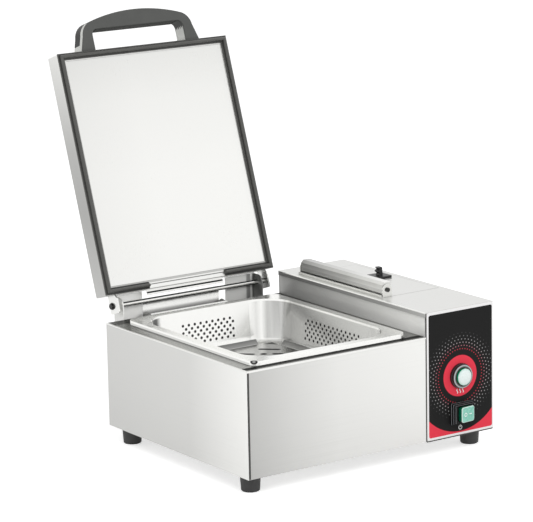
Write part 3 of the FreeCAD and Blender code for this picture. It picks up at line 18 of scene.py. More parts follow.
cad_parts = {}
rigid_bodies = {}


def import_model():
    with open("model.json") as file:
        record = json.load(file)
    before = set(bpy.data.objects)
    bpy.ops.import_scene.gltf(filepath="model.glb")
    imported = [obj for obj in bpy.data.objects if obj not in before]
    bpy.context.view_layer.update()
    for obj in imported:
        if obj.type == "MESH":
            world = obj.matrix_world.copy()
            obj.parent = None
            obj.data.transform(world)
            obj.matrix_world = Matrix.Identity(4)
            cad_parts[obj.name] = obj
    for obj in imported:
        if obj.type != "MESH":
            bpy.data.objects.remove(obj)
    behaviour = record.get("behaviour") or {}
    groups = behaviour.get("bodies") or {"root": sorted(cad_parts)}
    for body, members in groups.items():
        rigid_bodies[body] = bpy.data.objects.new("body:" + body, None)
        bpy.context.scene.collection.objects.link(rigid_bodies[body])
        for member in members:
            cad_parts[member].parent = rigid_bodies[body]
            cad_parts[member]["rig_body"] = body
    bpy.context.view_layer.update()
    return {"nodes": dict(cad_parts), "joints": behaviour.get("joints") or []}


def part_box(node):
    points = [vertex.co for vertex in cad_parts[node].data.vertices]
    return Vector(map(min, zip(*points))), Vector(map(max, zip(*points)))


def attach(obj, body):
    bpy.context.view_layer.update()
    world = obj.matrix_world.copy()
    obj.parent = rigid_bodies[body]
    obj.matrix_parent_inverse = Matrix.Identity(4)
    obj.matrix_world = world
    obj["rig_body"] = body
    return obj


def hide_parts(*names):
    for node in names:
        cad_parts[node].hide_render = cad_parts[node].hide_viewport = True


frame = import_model()
nodes = frame["nodes"]
joints = {joint["name"]: joint for joint in frame["joints"]}
scene = bpy.context.scene
mm = 0.001

# %% [markdown]
# ## Places taken from the solids
#
# The lid leans back about its rod. It is easiest to draw upright, with the rod as
# the origin, and then to turn it. The hinge joint gives the rod's place, and its
# range gives the lean, because the closed lid lies level.

# %% Boxes and the lid's own axes
def low_high(node):
    """The two corners of a node's box as numpy arrays."""
    low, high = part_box(node)
    return np.array(low), np.array(high)


def span_of(node, axis):
    """Lowest and highest place of a node along an axis (0 is x, 1 is y, 2 is z)."""
    low, high = low_high(node)
    return low[axis], high[axis]


rod_place = np.array(joints["lid_hinge"]["pos_m"])
lean = math.radians(-joints["lid_hinge"]["range_deg"][0] - 90)
lean_turn = np.array([[1, 0, 0], [0, math.cos(lean), math.sin(lean)], [0, -math.sin(lean), math.cos(lean)]])


def on_lid(points):
    """Points drawn upright about the rod, turned to the open lid and moved to the rod."""
    return np.asarray(points, float) @ lean_turn.T + rod_place


def lid_upright(node):
    """Box of a lid node in the upright axes: the turn undone, then the extremes taken."""
    mesh = nodes[node].data
    points = np.zeros(len(mesh.vertices) * 3)
    mesh.vertices.foreach_get("co", points)
    upright = (points.reshape(-1, 3) - rod_place) @ lean_turn
    return upright.min(0), upright.max(0)


print("lid leans", round(math.degrees(lean), 2), "degrees about", rod_place.round(4))

# %% [markdown]
# ## Making meshes from arrays
#
# Most pieces here are a grid of points: one direction runs round a closed section,
# the other along a path. One helper turns such a grid into quads, and can close the
# path too. Finishes are kept by name, and later cells fill that list.

# %% Grid helpers
def quads(rows, columns, close_rows):
    """Corner numbers of every cell of a grid: its columns close round, and its rows where asked."""
    r = np.arange(rows if close_rows else rows - 1)
    c = np.arange(columns)
    r0, c0 = np.meshgrid(r, c, indexing="ij")
    r1 = (r0 + 1) % rows
    c1 = (c0 + 1) % columns
    cells = np.stack([r0 * columns + c0, r1 * columns + c0, r1 * columns + c1, r0 * columns + c1], -1)
    return cells.reshape(-1, 4)


def clean(piece):
    """Merge doubled points, close open ends and turn the faces outwards."""
    work = bmesh.new()
    work.from_mesh(piece.data)
    bmesh.ops.remove_doubles(work, verts=work.verts, dist=1e-6)
    ends = [edge for edge in work.edges if edge.is_boundary]
    if len(ends) > 4:
        bmesh.ops.holes_fill(work, edges=ends)
    bmesh.ops.recalc_face_normals(work, faces=work.faces)
    work.to_mesh(piece.data)
    work.free()


def add_object(name, data):
    """A new object at the origin, in the scene."""
    thing = bpy.data.objects.new(name, data)
    scene.collection.objects.link(thing)
    return thing


def make_piece(name, points, faces, smooth_angle=35):
    """A mesh object at the origin from arrays of points and faces, shaded smooth up to an angle."""
    mesh = bpy.data.meshes.new(name)
    mesh.from_pydata(np.asarray(points, float).reshape(-1, 3).tolist(), [], np.asarray(faces).tolist())
    mesh.validate()
    piece = add_object(name, mesh)
    clean(piece)
    mesh.shade_smooth()
    mesh.set_sharp_from_angle(angle=math.radians(smooth_angle))
    return piece


def grid_piece(name, points, smooth_angle=35, close_rows=False):
    """A piece from a grid of points (rows, columns, 3), closed round each row."""
    rows, columns = points.shape[:2]
    return make_piece(name, points, quads(rows, columns, close_rows), smooth_angle)


def arc(centre, radius, start, stop, steps):
    """Points of an arc in a plane: centre plus radius times cosine and sine of the angle."""
    angle = np.radians(np.linspace(start, stop, steps))
    return np.stack([centre[0] + radius * np.cos(angle), centre[1] + radius * np.sin(angle)], -1)


finishes = {}


def finish_piece(piece, body, finish):
    """Give a piece its material and its body."""
    piece.data.materials.clear()
    piece.data.materials.append(finishes[finish].material)
    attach(piece, body)
    return piece


def stand_for(piece, node, finish):
    """Let a finished piece ride where a solid rides, and stand for it."""
    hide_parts(node)
    return finish_piece(piece, nodes[node]["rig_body"], finish)


print("helpers ready")

# %% [markdown]
# ## Softened edges
#
# Folded sheet and moulded plastic never have a razor edge: every bend and cut
# catches a thin line of light. The solids are sharp, so a copy of each is merged,
# its flat triangles are joined again, and a Bevel modifier rounds the edges. The
# copy stands in for the solid, which stays for collision.

# %% Softened copies of solids
sharp_angle = math.radians(32)


def softened(node, finish, radius, segments=2):
    """A merged copy of a solid with its edges rounded to a radius in mm, standing for it."""
    mesh = nodes[node].data.copy()
    work = bmesh.new()
    work.from_mesh(mesh)
    bmesh.ops.remove_doubles(work, verts=work.verts, dist=2e-6)
    bmesh.ops.dissolve_limit(work, angle_limit=math.radians(0.5), verts=work.verts, edges=work.edges)
    work.to_mesh(mesh)
    work.free()
    piece = add_object(node + "_skin", mesh)
    bevel = piece.modifiers.new("rounded_edges", "BEVEL")
    bevel.width = radius * mm
    bevel.segments = segments
    bevel.limit_method = "ANGLE"
    bevel.angle_limit = sharp_angle
    bevel.harden_normals = True
    mesh.shade_smooth()
    mesh.set_sharp_from_angle(angle=sharp_angle)
    return stand_for(piece, node, finish)


print("edges turn soft above", round(math.degrees(sharp_angle)), "degrees")

# %% [markdown]
# ## Camera
#
# The picture was taken with a long lens from the front left, a little above the
# lid's foot. A camera fitted to the edges of the casing gives the place and the
# turn below. The picture is 533 by 522 pixels, and the focal length in pixels
# becomes a lens length through the sensor's width.

# %% Camera
image_width = 533
focal_pixels = 2847.2
camera_place = Vector((-2.3079, -3.3526, 1.1472))
heading, dip, roll = (math.radians(angle) for angle in (34.52, 12.32, -1.12))

camera_data = bpy.data.cameras.new("camera")
camera_data.sensor_width = 36
camera_data.lens = focal_pixels / image_width * camera_data.sensor_width
camera_data.clip_start = 0.1
camera_data.clip_end = 30
camera = add_object("camera", camera_data)
ahead = Vector((math.sin(heading) * math.cos(dip), math.cos(heading) * math.cos(dip), -math.sin(dip)))
level_right = Vector((math.cos(heading), -math.sin(heading), 0))
level_up = level_right.cross(ahead)
right = level_right * math.cos(roll) + level_up * math.sin(roll)
up = level_up * math.cos(roll) - level_right * math.sin(roll)
camera.matrix_world = Matrix([*zip(right, up, -ahead, camera_place), (0, 0, 0, 1)])
scene.camera = camera
scene.view_settings.view_transform = "Standard"
print("lens", round(camera_data.lens, 1), "mm")

# %% [markdown]
# ## Arithmetic on a surface
#
# A finish is a network of nodes, and most of it is arithmetic on the place of a
# point. A small class lets that arithmetic read as on paper: each sum or product
# adds one Math node. A mask is a value between 0 and 1, and two masks multiplied
# hold where both hold.

# %% Values
def put_in(entry, value):
    """Fill a node's socket: a value is joined, a number is typed in, a colour gets its alpha."""
    if isinstance(value, Value):
        value.tree.links.new(value.socket, entry)
    elif isinstance(value, tuple):
        entry.default_value = (*value, 1)
    else:
        entry.default_value = value


def new_node(tree, kind, inputs=(), **settings):
    """A new shader node: first its settings, then its sockets by name or number."""
    node = tree.nodes.new("ShaderNode" + kind)
    for setting, value in settings.items():
        setattr(node, setting, value)
    for name, value in dict(inputs).items():
        put_in(node.inputs[name], value)
    return node


class Value:
    """A number or colour that changes over a surface: a node's output socket."""

    def __init__(self, socket):
        self.socket = socket
        self.tree = socket.id_data

    def math(self, operation, *others):
        """One Math node on this value and the others."""
        return Value(new_node(self.tree, "Math", enumerate((self, *others)), operation=operation).outputs[0])

    def __add__(self, other):
        return self.math("ADD", other)

    def __sub__(self, other):
        return self.math("SUBTRACT", other)

    def __rsub__(self, other):
        return self * -1 + other

    def __mul__(self, other):
        return self.math("MULTIPLY", other)

    def __abs__(self):
        return self.math("ABSOLUTE")

    def at_least(self, other):
        return self.math("MAXIMUM", other)

    def at_most(self, other):
        return self.math("MINIMUM", other)

    def clamp(self, low, high):
        return self.at_least(low).at_most(high)

    def below(self, limit, edge=0.25):
        """1 where the value is below limit, 0 above it, with a soft edge."""
        return (self * (-1 / edge) + (limit / edge + 0.5)).clamp(0, 1)

    def above(self, limit, edge=0.25):
        """1 where the value is above limit."""
        return 1 - self.below(limit, edge)

    def near(self, middle, half, edge=0.25):
        """1 where the value lies within half of a middle."""
        return abs(self - middle).below(half, edge)

    def from_step(self, pitch, first, last):
        """Distance to the nearest of first * pitch, (first + 1) * pitch ... last * pitch."""
        count = (self * (1 / pitch) - first).math("ROUND").clamp(0, last - first)
        return self - (count + first) * pitch


def diagonal(a, b):
    """Square root of the sum of two squares."""
    return (a * a + b * b).math("SQRT")


def turned_back(x, y, angle):
    """A place turned back about the origin: x cos + y sin, and y cos - x sin."""
    return x * math.cos(angle) + y * math.sin(angle), y * math.cos(angle) - x * math.sin(angle)


print("values ready")

# %% [markdown]
# ## What the finishes share
#
# Each finish starts from the Object coordinates, which are metres in the model's
# own frame. The methods add noise, colour ramps, mixing, painted shade in narrow
# gaps, and bump. Colours are screen levels from 0 to 255, which can be read off a
# picture, turned into the linear values that the shader wants.

# %% Finish class and colours
class Finish:
    """A node material, kept by its name; axes are x, y and z in metres."""

    def __init__(self, name):
        self.material = bpy.data.materials.new(name)
        self.material.use_nodes = True
        self.tree = self.material.node_tree
        self.shader = self.tree.nodes["Principled BSDF"]
        self.place = self.value("TexCoord", output="Object")
        self.axes = self.split(self.place)
        finishes[name] = self

    def value(self, kind, inputs=(), output=0, **settings):
        """One output of a new node, by its name or number."""
        return Value(new_node(self.tree, kind, inputs, **settings).outputs[output])

    def give(self, settings):
        """Fill the shader's sockets by their names."""
        for name, value in settings.items():
            put_in(self.shader.inputs[name], value)

    def split(self, vector):
        """The x, y and z of a vector value."""
        return [Value(output) for output in new_node(self.tree, "SeparateXYZ", {0: vector}).outputs]

    def from_point(self, point):
        """x, y and z in millimetres from a point given in metres."""
        return [value * 1000 - 1000 * start for value, start in zip(self.axes, point)]

    def share(self, axis, span):
        """Where a point lies along an axis, from 0 to 1 over a span or over the solid named."""
        start, stop = span_of(span, axis) if isinstance(span, str) else span
        return (self.axes[axis] - start) * (1 / (stop - start))

    def noise(self, scale, detail=3, stretch=(1, 1, 1)):
        """Noise on coordinates stretched by a factor along each axis."""
        mapped = self.value("Mapping", {"Vector": self.place, "Scale": list(stretch)})
        return self.value("TexNoise", {"Vector": mapped, "Scale": scale, "Detail": detail}, "Fac")

    def ramp(self, value, stops):
        """A colour that follows a value from 0 to 1, from (position, colour) stops."""
        node = new_node(self.tree, "ValToRGB", {0: value})
        elements = node.color_ramp.elements
        for element, (position, tint) in zip(elements, (stops[0], stops[-1])):
            element.position = position
            element.color = (*tint, 1)
        for position, tint in stops[1:-1]:
            elements.new(position).color = (*tint, 1)
        return Value(node.outputs[0])

    def scale_along(self, tint, axis, span, factors):
        """A colour scaled along an axis by (place along the span, factor) stops."""
        stops = [(position, (factor, factor, factor)) for position, factor in factors]
        return self.mix(1, tint, self.ramp(self.share(axis, span), stops), "MULTIPLY")

    def mix(self, factor, first, second, blend="MIX"):
        """Two colours mixed: factor 0 gives the first, 1 the second."""
        return self.value("Mix", {0: factor, 6: first, 7: second}, 2, data_type="RGBA", blend_type=blend)

    def times(self, tint, factor):
        """A colour scaled by a value."""
        grey = self.value("CombineColor", dict.fromkeys(range(3), factor))
        return self.mix(1, tint, grey, "MULTIPLY")

    def painted_crevice_shade(self, reach, darkest):
        """Painted shade: a factor that falls towards darkest where other surfaces lie within reach, in mm."""
        return self.value("AmbientOcclusion", {"Distance": reach * mm}, "AO", samples=8) * (1 - darkest) + darkest

    def bump(self, height, strength, distance=0.0001):
        """Bump from a height into the shader's normal."""
        self.give({"Normal": self.value("Bump", {"Strength": strength, "Distance": distance, "Height": height})})

    def lift_normal(self, lift):
        """Shading normal leant upwards: the face's normal plus a share of straight up, made unit length."""
        normal = self.value("NewGeometry", output="Normal")
        leant = self.value("VectorMath", {0: normal, 1: [0, 0, lift]}, operation="ADD")
        self.give({"Normal": self.value("VectorMath", {0: leant}, operation="NORMALIZE")})


def linear(level):
    """Screen level 0 to 255 to linear light: the sRGB curve undone."""
    share = level / 255
    return share / 12.92 if share < 0.04045 else ((share + 0.055) / 1.055) ** 2.4


def colour(red, green, blue):
    """Linear colour from three screen levels."""
    return linear(red), linear(green), linear(blue)


def steel_tone(level):
    """The faintly warm grey of stainless steel at a screen level."""
    value = linear(level)
    return value, value, value * 0.975


def steel_stops(tones):
    """Ramp stops from (position, screen level) pairs, or from one level for the whole sheet."""
    if isinstance(tones, int):
        tones = [(0, tones), (1, tones)]
    return [(position, steel_tone(level)) for position, level in tones]


print("screen level 186 is", round(linear(186), 3), "of full light")

# %% [markdown]
# ## Steel
#
# Brushed stainless is a mirror drawn out along the brushing. Fine noise,
# stretched two hundred times along that direction, moves the roughness and a
# faint bump; slow noise gives the cloudy marks of handling. Each finish may have
# its own tones along one axis, and factors on them along a second one; these
# paint in the reflected light and the shade that each sheet shows where it
# stands. A short-range occlusion factor paints shade into the seams.

# %% Steel finishes
def steel(name, grain_axis, tones, rough, tone_axis=0, span=(0, 1), grain=0.05, reach=12,
          darkest=0.45, across=None, metal=1, lift=0, glancing=1):
    """Stainless steel brushed along one axis (0 is x, 1 is y, 2 is z).

    tones is one screen level, or (place along the span from 0 to 1, screen level) stops; across is
    (axis, span, (place, factor) stops) and scales the tone along a second axis; both paint reflected
    light and shade into the colour. reach and darkest set the painted shade in gaps. metal below 1
    gives the satin scatter of sheet in a corner, where a mirror would turn black; lift leans
    reflections up towards the room; glancing is what is left of the mirror at a low angle."""
    finish = Finish(name)
    stretch = [600, 600, 600]
    stretch[grain_axis] = 3
    streaks = finish.noise(1, 2, stretch)
    clouds = finish.noise(9)
    # Painted light: the ramp along one axis and the factors across paint reflected light and shade into the tone.
    tint = finish.ramp(finish.share(tone_axis, span), steel_stops(tones))
    if across:
        tint = finish.scale_along(tint, *across)
    shade = (streaks * 0.1 + clouds * 0.05 + 0.93).at_most(1)
    # Painted shade: the occlusion factor darkens the tone in seams and corners.
    finish.tint = finish.times(tint, shade * finish.painted_crevice_shade(reach, darkest))
    finish.give({"Base Color": finish.tint, "Roughness": streaks * grain + clouds * 0.06 + (rough - grain / 2),
                 "Metallic": metal, "Specular Tint": (glancing, glancing, glancing)})
    if lift:
        finish.lift_normal(lift)
    else:
        finish.bump(streaks, 0.05, 0.0002)
    return finish


bracket_x = (span_of("hinge_bracket_left", 0)[0], span_of("hinge_bracket_right", 0)[1])
# Painted shade: the front and side sheets darken towards the bottom, where they mirror the floor's shadow.
painted_lower_shade = (2, "left_side_panel", [(0, 0.92), (0.5, 0.97), (1, 1)])
# Painted reflected light: the front sheet grows lighter from left to right.
steel("steel_front", 0, [(0, 197), (0.25, 218), (0.5, 234), (1, 244)], 0.3, 0, "front_panel", darkest=0.7,
      across=painted_lower_shade)
# Painted reflected light: the side sheet is lightest at its front end and darker towards the back.
steel("steel_side", 1, [(0, 252), (0.15, 243), (0.4, 224), (1, 218)], 0.3, 1, "left_side_panel", darkest=0.7,
      across=painted_lower_shade)
# Painted shade: the housing's inner wall darkens from its front end towards the back, where it mirrors the pan, and
# lightens a little at the very back.
steel("steel_wall", 1, [(0, 255), (0.1, 254), (0.25, 236), (0.5, 200), (0.9, 158), (0.96, 176), (1, 200)], 0.3, 1,
      "housing_top_cover", reach=6, darkest=0.85, metal=0.25)
steel("steel_cover", 1, [(0, 224), (1, 222)], 0.26, 1, "housing_top_cover", darkest=0.8)
# Painted shade: the cover's lip is dark and darkens further towards the back.
steel("cover_lip_steel", 1, [(0, 206), (0.3, 160), (0.7, 120), (1, 104)], 0.3, 1, "housing_top_cover",
      reach=2, darkest=0.95, metal=0.3)
# Painted light and shade: the flap's hinge channel darkens towards the back, and painted dark bands run across its
# height.
steel("steel_channel", 1, [(0, 244), (0.12, 236), (0.45, 212), (1, 186)], 0.28, 1, "flap_hinge_channel",
      reach=4, darkest=0.7, across=(2, "flap_hinge_channel", [
          (0, 0.75), (0.48, 0.85), (0.5, 1), (0.8, 0.88), (0.84, 1), (1, 1)]))
# Painted shadow: the deck is dark in a narrow strip just in front of the pan's flange, where the flange shades it,
# and towards the back.
steel("steel_deck", 1, [(0, 232), (0.5, 212), (1, 200)], 0.24, 0, "front_panel", reach=6, darkest=0.3, glancing=0.4,
      across=(1, "left_side_panel", [(0, 0.85), (0.01, 0.8), (0.014, 0.1), (0.039, 0.1), (0.046, 1), (0.93, 1),
                          (0.945, 0.4), (1, 0.35)]))
# Painted shade: the right hinge bracket is darker than the left, and dark bands are painted on its cheek.
steel("steel_bracket", 0, [(0, 222), (0.6, 230), (0.8, 240), (1, 244)], 0.34, 2, "hinge_bracket_left",
      reach=3, darkest=0.9, metal=0.7, lift=0.35, across=(0, bracket_x, [
          (0, 1), (0.4, 1), (0.6, 0.8), (0.935, 0.8), (0.945, 0.3), (0.965, 0.3), (0.97, 0.9), (0.98, 0.9),
          (0.985, 0.25), (1, 0.25)]))
steel("steel_shell", 2, [(0, 200), (0.35, 184), (0.6, 196), (1, 242)], 0.3, 2, "lid_shell", reach=6,
      darkest=0.8)
# Painted reflected light: the lid's inner panel darkens a little towards its top and its left edge.
steel("steel_lid", 2, [(0, 250), (0.5, 248), (0.8, 243), (1, 234)], 0.26, 2, (0.2, 0.55), reach=3, darkest=0.98,
      across=(0, "lid_inner_panel", [(0, 0.93), (0.4, 0.99), (1, 1)]))
# Painted reflection: the hinge rod is dark along its underside and along its top, and bright between.
steel("steel_rod", 0, [(0, 60), (0.25, 90), (0.36, 252), (0.7, 254), (0.82, 150), (0.92, 90), (1, 90)], 0.16, 2,
      "hinge_rod", grain=0.03, reach=4, darkest=0.95)
# Painted shade: the drip channel is dark low down and bright higher up.
steel("steel_trough", 0, [(0, 124), (0.42, 128), (0.5, 176), (0.58, 250), (0.64, 254), (1, 254)], 0.2, 2,
      "drip_channel", reach=4, darkest=0.95, metal=0.8, lift=0.4)
steel("steel_hem", 0, 246, 0.26, darkest=0.95)
steel("rear_steel", 0, 254, 0.26, darkest=0.95, metal=0.8, lift=0.5)
steel("steel_bright", 0, 248, 0.18, grain=0.03, reach=5, darkest=0.6)
steel("steel_upright", 2, 228, 0.3)
steel("steel_plain", 0, 212, 0.36)
steel("well_steel", 2, 120, 0.45, reach=5)
steel("zinc_plated", 2, 190, 0.35, reach=4)
steel("screw_dark", 2, 76, 0.35, reach=4)
# Painted shadow: a dark finish for the strips that stand in the casing's seams and under the fascia.
steel("steel_seam", 2, 84, 0.4, grain=0.03)
# Painted shadow: a dark finish for the strip where the lid's shell ends.
steel("painted_lid_shadow", 0, 52, 0.4, grain=0.03)
steel("fold_grey", 0, 130, 0.4, grain=0.03)
steel("cast_aluminium", 1, 200, 0.5, grain=0.15)
steel("heater_sheath", 1, 140, 0.5)
print("steels made:", len(finishes))

# %% [markdown]
# ## Plastics and rubber
#
# Moulded plastic is never quite even: a fine leather-like texture breaks up the
# highlights, and slow noise shifts its tone a little. Rubber is rougher and duller.
# A short-range occlusion factor paints shade into gaps.

# %% Plastic and rubber finishes
def moulded(name, levels, rough, texture=0, texture_scale=1500, coat=0, reach=6, darkest=0.5):
    """Moulded plastic or rubber: slow noise moves it 6% about a colour, or between two, given as
    screen levels; fine noise roughens it."""
    finish = Finish(name)
    if len(levels) == 3:
        between = [[min(1, share * factor) for share in colour(*levels)] for factor in (0.94, 1.06)]
    else:
        between = [colour(*level) for level in levels]
    finish.tint = finish.ramp(finish.noise(40, 4), [(0.3, between[0]), (0.7, between[1])])
    # Painted shade: the occlusion factor darkens the colour in gaps.
    finish.gaps = finish.painted_crevice_shade(reach, darkest)
    fine = finish.noise(texture_scale, 2)
    finish.give({"Base Color": finish.times(finish.tint, finish.gaps), "Roughness": fine * 0.12 + (rough - 0.06),
                 "Coat Weight": coat})
    if texture:
        finish.bump(fine, texture)
    return finish


moulded("handle_dark", (80, 81, 79), 0.6, 0.25)
moulded("handle_black", (34, 34, 34), 0.5, 0.15)
moulded("black_plastic", (30, 30, 30), 0.38, 0.1)
moulded("seal_rubber", (76, 76, 73), 0.34, 0.1, coat=0.25, reach=3, darkest=0.1)
moulded("foot_rubber", (58, 58, 58), 0.55, 0.3)
moulded("hose_silicone", (226, 226, 220), 0.45)
moulded("tank_plastic", (232, 236, 238), 0.35)
moulded("bakelite", (88, 66, 54), 0.5, 0.2)
moulded("board_green", (50, 124, 80), 0.4)
moulded("blanket", (226, 222, 214), 0.9, 0.6, 300)
print("steels and plastics made:", len(finishes))

# %% [markdown]
# ## Handle
#
# The handle's middle layer is pale outside and dark where the fingers go. The
# place is turned upright first, so that the dark part is a plain box: within a
# width, and above a height. Ribs end it in teeth, which a sawtooth of the depth
# added to the height gives.

# %% Handle finish
grip_half = 84
grip_start = lid_upright("handle_core")[0][2] * 1000 + 24


def handle_pale():
    """Pale plastic, dark inside the grip, with a toothed end to the dark part."""
    finish = moulded("handle_pale", ((208, 209, 205), (220, 221, 217)), 0.56, 0.25)
    x, y, z = finish.axes
    up, depth = turned_back(z, y, lean)
    rod_up = math.cos(lean) * rod_place[2] + math.sin(lean) * rod_place[1]
    tooth = abs((depth * 200).math("FRACT") - 0.5) * 9
    height = (up - rod_up) * 1000 + tooth
    grip = (x - rod_place[0]).near(0, grip_half * mm, 1 * mm) * height.above(grip_start, 1)
    tint = finish.mix(grip, finish.tint, colour(66, 67, 65))
    finish.give({"Base Color": finish.times(tint, finish.gaps)})


handle_pale()
print("grip starts", round(grip_start, 1), "mm above the rod")

# %% [markdown]
# ## Pan
#
# The pan is one polished sheet. Its rounded corners carry upright light and dark
# bands, because each part of the curve mirrors another part of the room, so these
# painted reflections take their tone from the compass direction that each face
# looks in. The right wall gets a painted reflection that greys it towards the
# back, and the floor under the plate gets painted shadow. The punched holes are in
# the solid, and a painted dark ring of shade round each is worked out from the
# same rows and steps. The flange has a small painted reflection at its front
# corner, a dark ring with a grey middle.

# %% Pan finish
pan_low, pan_high = low_high("steam_pan")
plate_low, plate_high = low_high("slotted_plate")
# Painted reflections: tones by the compass direction a wall faces, and factors that grey the right wall towards the
# back.
painted_wall_reflections = [(0, 240), (0.25, 150), (0.33, 84), (0.36, 110), (0.385, 220), (0.41, 124), (0.44, 110), (0.47, 250),
              (0.51, 254), (0.54, 232), (0.57, 252), (0.6, 200), (0.64, 214), (0.68, 253), (0.72, 216),
              (0.775, 216), (0.79, 254), (0.81, 200), (0.825, 254), (0.84, 110), (0.86, 90), (0.93, 200), (1, 240)]
painted_right_wall_reflection = [(0, 1), (0.25, 1), (0.5, 0.8), (0.85, 0.62), (1, 0.62)]


def facing(finish):
    """The compass direction a face looks in, 0.5 to the front, 0.75 to the left and 0 and 1 to the
    back, and the upward part of its normal."""
    x, y, z = finish.split(finish.value("NewGeometry", output="Normal"))
    return (x * -1).math("ARCTAN2", y * -1) * (0.5 / math.pi) + 0.5, z


def painted_hole_shade(finish, right):
    """1 within 2.1 mm of a punched hole's middle: six rows 5.5 mm apart, holes 10.4 mm apart, every
    other row moved by half a step. right is 1 on the right wall, which counts its holes along y."""
    row_pitch, first_row, hole_pitch, rim = 5.5, 21.5, 10.4, 2.1
    middle = (pan_low + pan_high) / 2
    along_x, along_y, up = finish.from_point((middle[0], middle[1], pan_high[2]))
    row_place = (up + first_row) * (-1 / row_pitch)
    row = row_place.clamp(0, 5).math("ROUND")
    rise = (row_place - row) * row_pitch
    along = along_x + (along_y - along_x) * right - row.math("MODULO", 2) * (hole_pitch / 2)
    last = right * 2 + 4
    column = (along * (1 / hole_pitch) + 0.25).math("ROUND").at_most(last).at_least(last * -1)
    shift = along + hole_pitch / 4 - column * hole_pitch
    return diagonal(shift, rise).below(rim, 0.3)


def pan_finish():
    """Painted reflections: bands by direction, and the right wall greyer towards the back; painted shadow under the
    plate and painted shade round the holes; a painted reflection at the flange's corner.
    """
    finish = Finish("pan_steel")
    x, y, z = finish.axes
    direction, rise = facing(finish)
    wall = finish.ramp(direction, steel_stops(painted_wall_reflections))
    # Painted reflection: the right wall greys towards the back.
    greyer = finish.scale_along(wall, 1, "steam_pan", painted_right_wall_reflection)
    right = x.above(pan_high[0] - 24 * mm, 8 * mm)
    upright = rise.near(0, 0.6, 0.3) * z.below(pan_high[2] - 3 * mm, 1 * mm)
    tint = finish.mix(upright, steel_tone(254), finish.mix(right, wall, greyer))
    # Painted shadow: the pan's floor under the plate is dark.
    middle, half = (plate_low + plate_high) / 2, (plate_high - plate_low) / 2 - 6 * mm
    painted_plate_shadow = x.near(middle[0], half[0], 1 * mm) * y.near(middle[1], half[1], 1 * mm)
    painted_plate_shadow = painted_plate_shadow * z.below(plate_low[2] + 0.2 * mm, 0.2 * mm)
    tint = finish.mix(painted_plate_shadow, tint, steel_tone(60))
    # Painted shade: a dark ring round each punched hole on the walls.
    tint = finish.mix(upright * painted_hole_shade(finish, right), tint, steel_tone(40))
    # Painted reflection: a dark ring with a grey middle at the flange's front corner.
    glint_x, glint_y, glint_z = finish.from_point(pan_low * (1, 1, 0) + pan_high * (0, 0, 1)
                                               + np.array([4.4, 4.2, -1]) * mm)
    from_glint = diagonal(diagonal(glint_x, glint_y), glint_z * 1.5)
    tint = finish.mix(from_glint.below(5.2, 0.6), tint, steel_tone(50))
    tint = finish.mix(from_glint.below(2.2, 0.6), tint, steel_tone(160))
    streaks = finish.noise(1, 2, (400, 400, 4))
    finish.give({"Base Color": finish.times(tint, streaks * 0.04 + 0.98), "Roughness": streaks * 0.05 + 0.18,
                 "Metallic": 0.85})
    finish.lift_normal(0.35)


pan_finish()
print("pan", ((pan_high - pan_low) * 1000).round(1), "mm")

# %% [markdown]
# ## Slotted plate
#
# The plate on the pan's floor is bright, with painted shade on its raised rim and a painted dark ring of shade
# round each slot and hole.
# The slots lie on a grid, so the distance to the nearest grid point, turned back
# by the slot's angle, gives the distance from a slot's middle line.

# %% Plate finish
def plate_finish():
    """4 by 6 slots, 26 mm long and turned by 42 degrees, and round holes between every four."""
    pitch_x, pitch_y, half_slot, slot_shade_reach, hole_shade_reach = 46, 36, 13, 4.2, 5.6
    # Painted shade: the tones darken the plate's raised rim.
    finish = steel("steel_slots", 0, [(0, 196), (0.12, 196), (0.25, 150), (1, 116)], 0.16, 2,
                   "slotted_plate", grain=0.03, reach=5, darkest=0.5)
    x, y, z = finish.from_point((plate_low + plate_high) / 2)
    along, beside = turned_back(x.from_step(pitch_x, -1.5, 1.5), y.from_step(pitch_y, -2.5, 2.5), math.radians(-42))
    past = (abs(along) - half_slot).at_least(0)
    slots = diagonal(past, beside).below(slot_shade_reach, 0.4)
    holes = diagonal(x.from_step(pitch_x, -1, 1), y.from_step(pitch_y, -2, 2)).below(hole_shade_reach, 0.4)
    flat = finish.axes[2].below(plate_low[2] + 1.6 * mm, 0.2 * mm)
    # Painted shade: a dark ring round each slot and hole on the flat plate.
    finish.give({"Base Color": finish.mix(flat * slots.at_least(holes), finish.tint, steel_tone(34))})


plate_finish()
print("plate", ((plate_high - plate_low) * 1000).round(1), "mm")

# %% [markdown]
# ## Switch frame
#
# The switch's stepped frame gets a painted highlight, a paler line along the
# front edge of each step. How far a point stands out from the panel's film picks
# the edge.

# %% Switch finish
film_y = span_of("control_overlay", 1)[0]
step_edges = (3.8, 7.5, 11.2)


def film_depth(finish):
    """How far a point stands out in front of the film, in mm."""
    return finish.axes[1] * -1000 + 1000 * film_y


def step_finish():
    """Black plastic with a painted highlight, a paler line, round the front edge of each step."""
    finish = Finish("switch_steps")
    first, second, third = (film_depth(finish).near(edge, 0.5, 0.3) for edge in step_edges)
    clouds = finish.noise(300)
    # Painted highlight: the paler lines on the step edges.
    painted_step_highlight = finish.ramp(clouds, [(0.2, colour(138, 142, 146)), (0.8, colour(150, 154, 158))])
    tint = finish.mix(first.at_least(second).at_least(third), colour(20, 20, 21), painted_step_highlight)
    finish.give({"Base Color": tint, "Roughness": clouds * 0.1 + 0.45, "Specular IOR Level": 0.2})


step_finish()
print("steps at", step_edges, "mm")

# %% [markdown]
# ## Dress the sheet metal and the small solids
#
# Each solid gets the finish that a table here names. The first table gives the
# solid, its finish and its edge's radius in mm; the second gives a finish and the
# solids that stay as they are and take it.

